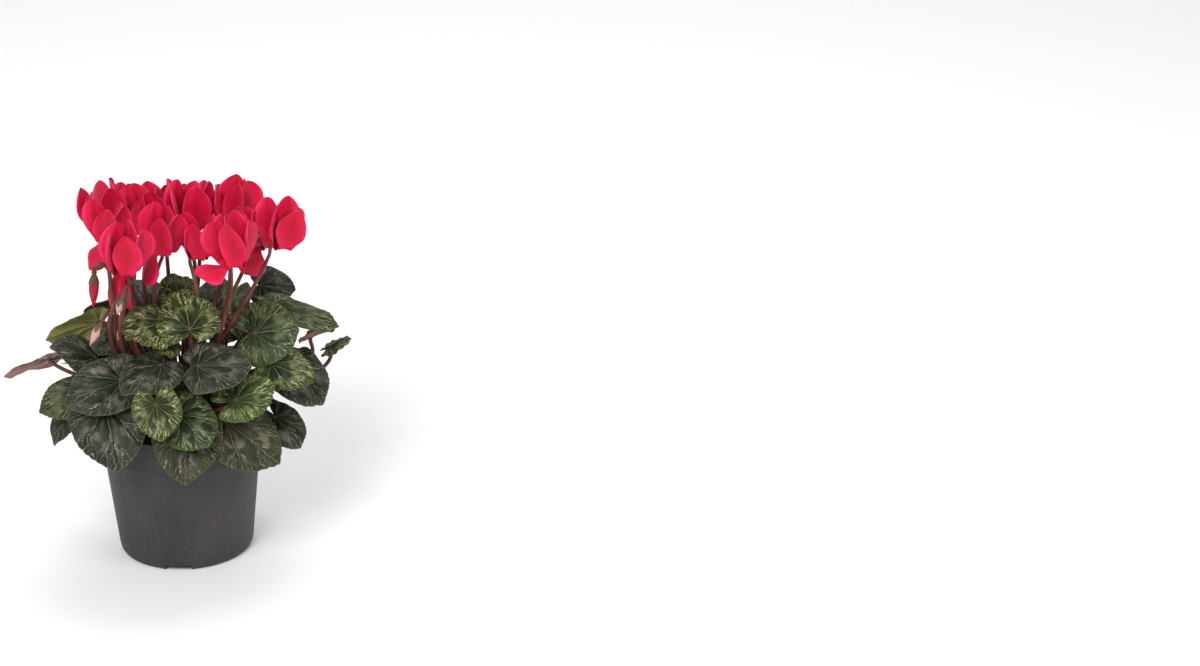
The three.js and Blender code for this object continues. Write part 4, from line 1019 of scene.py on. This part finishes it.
def bud_finish(name, root, body, tip):
    paint = Finish(name)
    bud_map, _, along = paint.uv("bud")
    silk = paint.noise(14, stretch=(5, 0.6, 1), places=bud_map)
    color = paint.mix(paint.step(along, 0.1, 0.45), root, body)
    color = paint.mix(paint.step(along + 0.3 * silk, 0.75, 1.15), color, tip)
    color = paint.mix(silk * 0.3, color, root)
    return paint.shade(color, 0.42 + 0.1 * silk, silk, depth=0.0003, Specular_IOR_Level=0.3)


def stalk_finish(name, dark, light, green):
    paint = Finish(name)
    streaks = paint.noise(330, detail=4, stretch=(1, 1, 0.09))
    blotches = paint.noise(60, stretch=(1, 1, 0.5))
    color = paint.mix(paint.step(streaks * 0.55 + blotches * 0.45, 0.36, 0.66), dark, light)
    color = paint.mix(paint.step(blotches, 0.56, 0.72) * 0.5, color, green)
    return paint.shade(color, 0.45 + 0.15 * streaks, streaks, depth=0.0004, Specular_IOR_Level=0.3)


def spindle_radius(share):
    """A bud's radius along its length, as a share of the widest"""
    return np.sin(math.pi * np.minimum(share + SPINDLE["blunt"], 1) ** SPINDLE["fullness"])


def make_bud(name, node, bud, materials):
    foot, tip = np.array(bud["calyx"], float), np.array(bud["tip"], float)
    length = np.linalg.norm(tip - foot)
    along = unit(tip - foot)
    right = unit(np.cross(along, SPINDLE["aside"]))
    back = np.cross(along, right)

    def skin(radius, angle, share):
        out = right * np.cos(angle)[..., None] + back * np.sin(angle)[..., None]
        return foot + radius[..., None] * out + (share * length)[..., None] * along, out

    rings, sides = SPINDLE["rings"], SPINDLE["sides"]
    share, angle = grid_of(np.linspace(0, 1, rings), np.arange(sides) / sides * TURN)
    lap = (SEPAL["count"] * (angle / TURN + SPINDLE["turns"] * share)) % 1
    furrow = SPINDLE["furrow"] * (1 - lap) ** 6 * (share > SPINDLE["smooth"])
    radius = bud["radius"] * spindle_radius(share) * (1 - furrow)
    radius[0] = radius[-1] = 0
    maps = []
    for row in range(rings - 1):
        for i in range(sides):
            corners = ((i, row), (i + 1, row), (i + 1, row + 1), (i, row + 1))
            maps.append(np.array(corners) / (sides, rings - 1))
    sheets = Sheets()
    sheets.add(skin(radius, angle, share)[0], band_faces(rings - 1, sides), 0, maps)
    for i in range(SEPAL["count"]):
        run, across = grid_of(np.linspace(SEPAL["start"], 1, SEPAL["rows"]),
                              np.linspace(-1, 1, SEPAL["columns"]))
        taper = np.cos(math.pi / 2 * run) ** SEPAL["taper"]
        angle = (i + 0.5) / SEPAL["count"] * TURN + across * SEPAL["wide"] * taper
        share = run * bud.get("sepal", SEPAL["long"])
        radius = bud["radius"] * np.maximum(spindle_radius(share), SEPAL["least"])
        grid, out = skin(radius + SEPAL["proud"] * (SEPAL["flare"] + run), angle, share)
        half = SEPAL["thick"] / 2 * out
        sheets.add(np.concatenate([grid + half, grid - half]),
                   sheet_faces(SEPAL["rows"], SEPAL["columns"]), 1)
    piece = sheets.piece(name, materials, "bud")
    mend(piece.data)
    dress(piece, "bud", node)


bud_finishes = {name: bud_finish(f"{name}_bud", **look) for name, look in BUD_LOOKS.items()}
stalk_finishes = {name: stalk_finish(name, **look) for name, look in STALK_LOOKS.items()}
for k, bud in enumerate(BUDS):
    finishes = [bud_finishes[bud["look"]], stalk_finishes["calyx"]]
    make_bud(f"closed_bud_{k + 1:02d}", f"bud_{k + 1:02d}", bud, finishes)

# The corm and everything that grows from it: a leaf stalk under each blade and a hooked flower
# stalk to each bloom and bud, fleshy, round and red-brown. Each starts on the corm, below where
# it is going, and takes the first bow on which it has room to every blade, bloom and bud.
CORM = {"top": 90, "sides": 72, "steps": 6, "lump": 0.012, "lump_scale": 2.2, "uneven": 0.3, "seed": 9}
CORM_PROFILE = [(0, 64), (11.4, 64), (19, 74), (19, 81), (15.2, 87), (8.5, 90), (0, 90)]
STALK = {
    "leaf_root": 1.7, "leaf_end": 1.2, "leaf_swell": (1.05, 1.2, 1.45), "leaf_steps": 4,
    "bloom_root": 2.1, "bloom_end": 1.15, "hook_steps": 6, "calyx": 2.3, "calyx_length": 2.4,
    "into_cup": 0.2, "steps": 5, "finer": 6, "sides": 14, "probe": 1.5, "room": 0.12,
    "leaf_rings": (16, 12.6), "bloom_rings": (9.2, 5), "sink": 3, "fan": 0.5, "shoulder": 8.5,
    "slope": 0.4, "outward": 0.35, "leave": 0.38, "arrive": 0.33, "upper_bow": 0.6,
    "bows": (0, 4, 8, 12, 17, 23, 30, 38), "headings": 12, "seat": 0.75, "neck": 3, "tuck": 0.6,
    "rise": 0.8, "approaches": (0.5, 0.1, 0.9), "lean": 0.5, "leans": 8,
}
HOOK = [(6.9, -8), (6.8, 1), (6.3, 9), (3.6, 13.4), (1.2, 12.8)]
BUD_HOOK = {"neck": 2.4, "crest_up": 0.6, "crest_out": 0.7, "over": 1.7, "down": 1.6, "down_out": 0.2,
            "calyx": 0.6, "calyx_rings": 5, "top": 0.3}


def room_tree(items):
    """The given pieces' faces as a tree that tells how near a point is to them, in millimetres"""
    points, faces = [], []
    for item in items:
        start = len(points)
        points += [vertex.co / MM for vertex in item.data.vertices]
        faces += [[start + v for v in polygon.vertices] for polygon in item.data.polygons]
    return BVHTree.FromPolygons(points, faces)


crown = room_tree([item for name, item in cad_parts.items()
                   if name not in ("soil", "corm_and_stalks")])


def clearance(route, radius):
    """The least room round a route's straight runs, as far as it matters"""
    least = math.inf
    for start, end in zip(route, route[1:]):
        count = math.ceil(np.linalg.norm(end - start) / STALK["probe"])
        for k in range(count):
            near = crown.find_nearest(Vector(start + (end - start) * (k / count)))
            least = min(least, near[3] - radius)
        if least < 0:
            return least
    return least


def roots_under(ends, rings):
    """A root on the corm for each end, below its heading and evened out round the corm"""
    headings = [math.atan2(end[1], end[0]) for end in ends]
    roots = [None] * len(ends)
    for rank, i in enumerate(sorted(range(len(ends)), key=headings.__getitem__)):
        even = (rank + 0.5) / len(ends) * TURN - math.pi
        heading = headings[i] + (even - headings[i]) * STALK["fan"]
        radius = rings[rank % len(rings)]
        fall = STALK["slope"] * max(radius - STALK["shoulder"], 0)
        roots[i] = polar(radius, heading, CORM["top"] - STALK["sink"] - fall)
    return roots


def bezier(corners, steps):
    t = np.linspace(0, 1, steps + 1)[:, None]
    a, b, c, d = corners
    return (1 - t) ** 3 * a + 3 * (1 - t) ** 2 * t * b + 3 * (1 - t) * t * t * c + t ** 3 * d


def bowed_corners(root, end, arrival, bow, heading):
    """The four corners of a free curve that is bowed aside towards a heading"""
    span = np.linalg.norm(end - root)
    outward = unit(end * (1, 1, 0) * STALK["outward"] / span + UP)
    aside = polar(bow, heading, 0)
    first = root + outward * STALK["leave"] * span + aside
    second = end - arrival * STALK["arrive"] * span + aside * STALK["upper_bow"]
    return root, first, second, end


def clear_route(root, end, arrivals, radius):
    """The corners of the free curve with enough room, or with the most, and that room"""
    best = (-math.inf, None)
    for bow in STALK["bows"]:
        headings = STALK["headings"] if bow else 1
        for h in range(headings):
            for arrival in arrivals:
                corners = bowed_corners(root, end, arrival, bow, h / headings * TURN)
                room = clearance(bezier(corners, STALK["steps"]), radius)
                if room > best[0]:
                    best = (room, corners)
                if room > STALK["room"]:
                    return best
    return best


def smooth(points, before, steps):
    """A smooth curve through points, that leaves the first in the way it was reached"""
    chain = [before, *points, 2 * points[-1] - points[-2]]
    t = np.linspace(0, 1, steps, endpoint=False)[:, None]
    runs = []
    for a, b, c, d in zip(chain, chain[1:], chain[2:], chain[3:]):
        runs.append(0.5 * (2 * b + (c - a) * t + (2 * a - 5 * b + 4 * c - d) * t * t
                           + (3 * b - a - 3 * c + d) * t ** 3))
    return np.concatenate(runs + [[points[-1]]])


def bent_route(corners, points, steps):
    """The free curve and then a smooth one through points, which goes on where the first ends"""
    free = bezier(corners, STALK["steps"] * STALK["finer"])
    return np.concatenate([free[:-1], smooth(points, free[-2], steps)])


def blade_route(root, blade, radius):
    """A leaf stalk's route, and its room up to the neck below the blade"""
    at, along, normal, *_ = blade_frame(blade)
    below = at - normal * (STALK["seat"] + STALK["neck"]) - along * STALK["tuck"]
    arrivals = [unit(normal * STALK["rise"] + along * share) for share in STALK["approaches"]]
    room, corners = clear_route(root, below, arrivals, radius)
    return bent_route(corners, [below, at - normal * SHEET["thick"] / 2], STALK["leaf_steps"]), room


def leaf_route(root, blade):
    route, _ = blade_route(root, blade, STALK["leaf_root"])
    width = np.linspace(STALK["leaf_root"], STALK["leaf_end"], len(route))
    width[-3:] *= STALK["leaf_swell"]
    return route, width


def bloom_route(root, bloom):
    """A flower stalk's route, which hooks down to the cup through the gap with the most room"""
    place = bloom_frame(bloom)
    mouth = place[0]
    cup_top = CUP[-1][1]
    spin = math.radians(bloom["spin"])
    gap_turn = TURN / PETAL["count"]
    first = math.floor((math.atan2(-mouth[1], -mouth[0]) - spin) / gap_turn)
    best = (-math.inf, None, None)
    for gap in (0, 1, -1, 2, -2):
        angle = spin + (first + gap + 0.5) * gap_turn
        hook = [bloom_place(place, out * bloom.get("hook", 1), angle, height) for out, height in HOOK]
        straight = unit(hook[1] - hook[0])
        leans = [polar(STALK["lean"], h / STALK["leans"] * TURN, 0) for h in range(STALK["leans"])]
        arrivals = [straight] + [unit(straight + lean) for lean in leans]
        room, corners = clear_route(root, hook[0], arrivals, STALK["bloom_root"])
        room = min(room, clearance(hook, STALK["bloom_end"]))
        for height in (cup_top + STALK["calyx_length"], cup_top - STALK["into_cup"]):
            hook.append(bloom_place(place, 0, angle, height))
        if room > best[0]:
            best = (room, corners, hook)
        if room > STALK["room"]:
            break
    route = bent_route(best[1], best[2], STALK["hook_steps"])
    free = STALK["steps"] * STALK["finer"] + 1
    width = np.full(len(route), STALK["bloom_end"])
    width[:free] = np.linspace(STALK["bloom_root"], STALK["bloom_end"], free)
    width[-STALK["hook_steps"]:] = np.linspace(STALK["bloom_end"], STALK["calyx"], STALK["hook_steps"])
    return route, width


def bud_route(root, bud):
    """A bud stalk's route, with the small hook from which the bud hangs"""
    calyx, tip = np.array(bud["calyx"], float), np.array(bud["tip"], float)
    axis = unit(tip - calyx)
    side = polar(1, math.radians(bud["hook"]), 0)
    top = calyx - axis * BUD_HOOK["top"]
    above = top - axis * BUD_HOOK["neck"]
    crest = above + bud["rise"] * (side * BUD_HOOK["crest_out"] + UP * BUD_HOOK["crest_up"])
    over = above + bud["rise"] * side * BUD_HOOK["over"]
    down = over + bud["rise"] * (side * BUD_HOOK["down_out"] - UP * BUD_HOOK["down"])
    corners = clear_route(root, down, [UP], STALK["leaf_root"])[1]
    points = [down, over, crest, above, top + axis * BUD_HOOK["top"]]
    route = bent_route(corners, points, STALK["hook_steps"])
    width = np.linspace(STALK["leaf_root"], STALK["bloom_end"], len(route))
    rings = BUD_HOOK["calyx_rings"]
    width[-rings:] = np.linspace(width[-rings - 1], bud["radius"] * BUD_HOOK["calyx"], rings)
    return route, width


def tube_tree():
    """Sweeps a round section along lines that hold a width at each point"""
    graph = Growth("stalks", Lines="Geometry", Sides="Int", Finish="Material")
    lines = graph.node("GeometryNodeMeshToCurve", inputs={"Mesh": graph.given["Lines"]})
    width = graph.node("GeometryNodeInputNamedAttribute", {"data_type": "FLOAT"}, {"Name": "width"})
    inputs = {"Resolution": graph.given["Sides"], "Radius": 1.0}
    section = graph.node("GeometryNodeCurvePrimitiveCircle", inputs=inputs)
    inputs = {"Curve": lines, "Profile Curve": section, "Fill Caps": True, "Scale": width}
    tubes = graph.node("GeometryNodeCurveToMesh", inputs=inputs)
    return graph.close(graph.node("GeometryNodeSetShadeSmooth", inputs={"Geometry": tubes}))


def grow_stalks(name, routes, finish):
    """One piece with a round stalk along each route"""
    edges, start = [], 0
    for route, width in routes:
        edges += [(start + i, start + i + 1) for i in range(len(route) - 1)]
        start += len(route)
    mesh = bpy.data.meshes.new("lines")
    mesh.from_pydata(np.concatenate([route for route, width in routes]) * MM, edges, [])
    layer = mesh.attributes.new("width", "FLOAT", "POINT")
    layer.data.foreach_set("value", np.concatenate([width for route, width in routes]) * MM)
    values = {"Sides": STALK["sides"], "Finish": finish}
    piece = grow(name, add_object("lines", mesh), tube_tree(), values)
    mend(piece.data)
    return piece


def make_corm(finish):
    rings = []
    for (r0, z0), (r1, z1) in zip(CORM_PROFILE, CORM_PROFILE[1:]):
        for t in np.linspace(0, 1, CORM["steps"], endpoint=False):
            rings.append((r0 + (r1 - r0) * t, z0 + (z1 - z0) * t))
    rings.append(CORM_PROFILE[-1])
    piece = turned("corm", rings, CORM["sides"], [finish])
    scale = CORM["lump_scale"]
    for vertex in piece.data.vertices:
        x, y, z = vertex.co / MM
        lump = float(ripples(np.array(x * scale), np.array(y * scale + z), CORM["seed"]))
        vertex.co *= 1 - CORM["lump"] + CORM["lump"] * lump
        vertex.co.z = min(z + CORM["uneven"] * lump, CORM["top"]) * MM
    return piece


flowers = BLOOMS + [OPENING]
leaf_roots = roots_under([blade["at"] for blade in blades], STALK["leaf_rings"])
flower_ends = [bloom["mouth"] for bloom in flowers] + [bud["calyx"] for bud in BUDS]
flower_roots = roots_under(flower_ends, STALK["bloom_rings"])
leaf_routes = [leaf_route(root, blade) for root, blade in zip(leaf_roots, blades)]
flower_routes = [bloom_route(root, bloom) for root, bloom in zip(flower_roots, flowers)]
flower_routes += [bud_route(root, bud) for root, bud in zip(flower_roots[len(flowers):], BUDS)]
leaf_stalks = grow_stalks("leaf_stalks", leaf_routes, stalk_finishes["leaf_stalk"])
flower_stalks = grow_stalks("flower_stalks", flower_routes, stalk_finishes["flower_stalk"])
for piece in (make_corm(stalk_finishes["corm_skin"]), leaf_stalks, flower_stalks):
    dress(piece, "stalk", "corm_and_stalks")

# The small leaves: some forty more that grow up inside the crown and round its back, without
# solids of their own. Each is drawn anew until it has room between what grows there already,
# and is joined to the corm by its own thin stalk.
SMALL = {"seed": 7, "room": 0.8, "apart": 2.0, "roll": 0.35, "root": 1.1, "taper": 0.8, "ring": (14, 7),
         "points": 3, "dome": 20, "swing": 0.7, "tilt": 0.45, "wide": (0.75, 0.95), "lobe": (0.4, 0.7),
         "wave": 0.04, "above_soil": 8, "least_room": 0.05, "probe_turns": 19,
         "probe_shares": (0.35, 0.7, 1.03), "shares": SHARES[::2] + (1,)}
SMALL_GROUPS = [
    dict(tries=420, most=12, heading=(15, 165), radius=(36, 60), length=(22, 31), low=98, high=142,
         rise=(-0.9, -0.1), looks=("old", "old", "fresh")),
    dict(tries=900, most=22, heading=(-180, 180), radius=(16, 60), length=(15, 25), low=114, high=163,
         rise=(-0.4, 0.45), looks=("old", "fresh", "old", "young")),
    dict(tries=2500, most=7, heading=(-75, 35), radius=(18, 66), length=(12, 20), low=112, high=156,
         rise=(-0.6, 0.7), looks=("old", "old", "fresh")),
]


def drawn_blade(draw, group):
    """A blade drawn at random between a group's limits"""
    heading = math.radians(draw.uniform(*group["heading"]))
    near, far = group["radius"]
    radius = draw.uniform(near, far)
    height = draw.uniform(group["low"], group["high"] - SMALL["dome"] * (radius - near) / (far - near))
    rise = draw.uniform(*group["rise"])
    swing = heading + draw.uniform(-SMALL["swing"], SMALL["swing"])
    at = polar(radius, heading, height)
    tip = at + draw.uniform(*group["length"]) * unit(polar(1, swing, rise))
    face = polar(SMALL["tilt"] - rise, swing, 1)
    face = face + polar(SMALL["roll"] * draw.uniform(-1, 1), swing + TURN / 4, 0)
    look = group["looks"][int(draw.integers(len(group["looks"])))]
    return dict(at=at, tip=tip, face=face, wide=draw.uniform(*SMALL["wide"]),
                lobe=draw.uniform(*SMALL["lobe"]), turn=draw.uniform(0, TURN), wave=SMALL["wave"],
                look=look)


def blade_probe(blade, k):
    """Points all over a blade, to try how much room it has"""
    angle = np.linspace(-math.pi, math.pi, SMALL["probe_turns"])[None, :-1]
    share = np.array(SMALL["probe_shares"])[:, None]
    return blade_surface(blade, k, angle, share)[0].reshape(-1, 3)


def small_blades(grown):
    """Blades that stand clear of what has grown and of one another, with their numbers"""
    draw = np.random.default_rng(SMALL["seed"])
    chosen, taken = [], np.full((1, 3), np.inf)
    for group in SMALL_GROUPS:
        full = len(chosen) + group["most"]
        for k in range(group["tries"]):
            blade = drawn_blade(draw, group)
            probe = blade_probe(blade, k)
            if np.min(probe[:, 2]) < SOIL["top"] + SMALL["above_soil"]:
                continue
            if min(grown.find_nearest(Vector(point))[3] for point in probe) < SMALL["room"]:
                continue
            if np.min(np.linalg.norm(probe[:, None] - taken, axis=-1)) < SMALL["apart"]:
                continue
            chosen.append((blade, k))
            taken = np.concatenate([taken, probe])
            if len(chosen) == full:
                break
    return chosen


def make_small_leaves():
    pieces = [item for item in bpy.data.objects if item.type == "MESH" and not item.hide_render]
    chosen = small_blades(room_tree(pieces))
    roots = roots_under([blade["at"] for blade, k in chosen], SMALL["ring"])
    looks = list(LEAF_LOOKS)
    sheets, routes = Sheets(), []
    for root, (blade, k) in zip(roots, chosen):
        route, room = blade_route(root, blade, SMALL["root"])
        if room < SMALL["least_room"]:
            continue
        routes.append((route, np.linspace(SMALL["root"], SMALL["root"] * SMALL["taper"], len(route))))
        points, faces, slots, maps = blade_sheet(blade, k, SMALL["points"], SMALL["shares"])
        sides = (looks.index(blade["look"]), len(looks))
        sheets.add(points, faces, [sides[slot] for slot in slots], maps)
    finishes = [leaf_tops[look] for look in looks] + [leaf_backs["dull"]]
    dress(sheets.piece("small_leaves", finishes, "polar"), "leaf")
    dress(grow_stalks("small_leaf_stalks", routes, stalk_finishes["leaf_stalk"]), "stalk")


make_small_leaves()

# The stage: a plain pale floor under soft studio light, mostly from the front left.
STAGE = {"wide": 8, "low": -0.2, "pale": (0.86, 0.86, 0.86), "cloud": (0.7, 0.7, 0.7),
         "world": (0.97, 0.98, 1.0), "world_strength": 0.5, "aim": (0, 0, 0.12)}
LAMPS = {
    "key": dict(place=(-0.9, -1.9, 2.1), size=1.5, power=64, color=(1.0, 0.985, 0.96)),
    "fill": dict(place=(1.7, -1.4, 1.2), size=1.6, power=16, color=(0.96, 0.98, 1.0)),
    "top": dict(place=(0.3, 0.9, 2.0), size=1.4, power=20, color=(1.0, 1.0, 1.0)),
}


def make_floor():
    paint = Finish("pale_floor")
    finish = paint.shade(paint.mix(paint.noise(1.5, detail=2) * 0.06, STAGE["pale"], STAGE["cloud"]), 0.75)
    half = STAGE["wide"] / 2 / MM
    corners = [(half * x, half * y, STAGE["low"]) for x, y in ((-1, -1), (1, -1), (1, 1), (-1, 1))]
    mesh_piece("floor", corners, [(0, 1, 2, 3)], [finish])


def make_lamps():
    for name, lamp in LAMPS.items():
        data = bpy.data.lights.new(name, "AREA")
        data.shape = "DISK"
        data.size = lamp["size"]
        data.energy = lamp["power"]
        data.color = lamp["color"]
        light = add_object(name, data)
        light.location = lamp["place"]
        aim = Vector(STAGE["aim"]) - Vector(lamp["place"])
        light.rotation_euler = aim.to_track_quat("-Z", "Y").to_euler()


def make_world():
    world = bpy.data.worlds.new("studio")
    world.use_nodes = True
    sky = world.node_tree.nodes["Background"]
    sky.inputs["Color"].default_value = (*STAGE["world"], 1)
    sky.inputs["Strength"].default_value = STAGE["world_strength"]
    bpy.context.scene.world = world
    bpy.context.scene.view_settings.view_transform = "Standard"


make_floor()
make_lamps()
make_world()
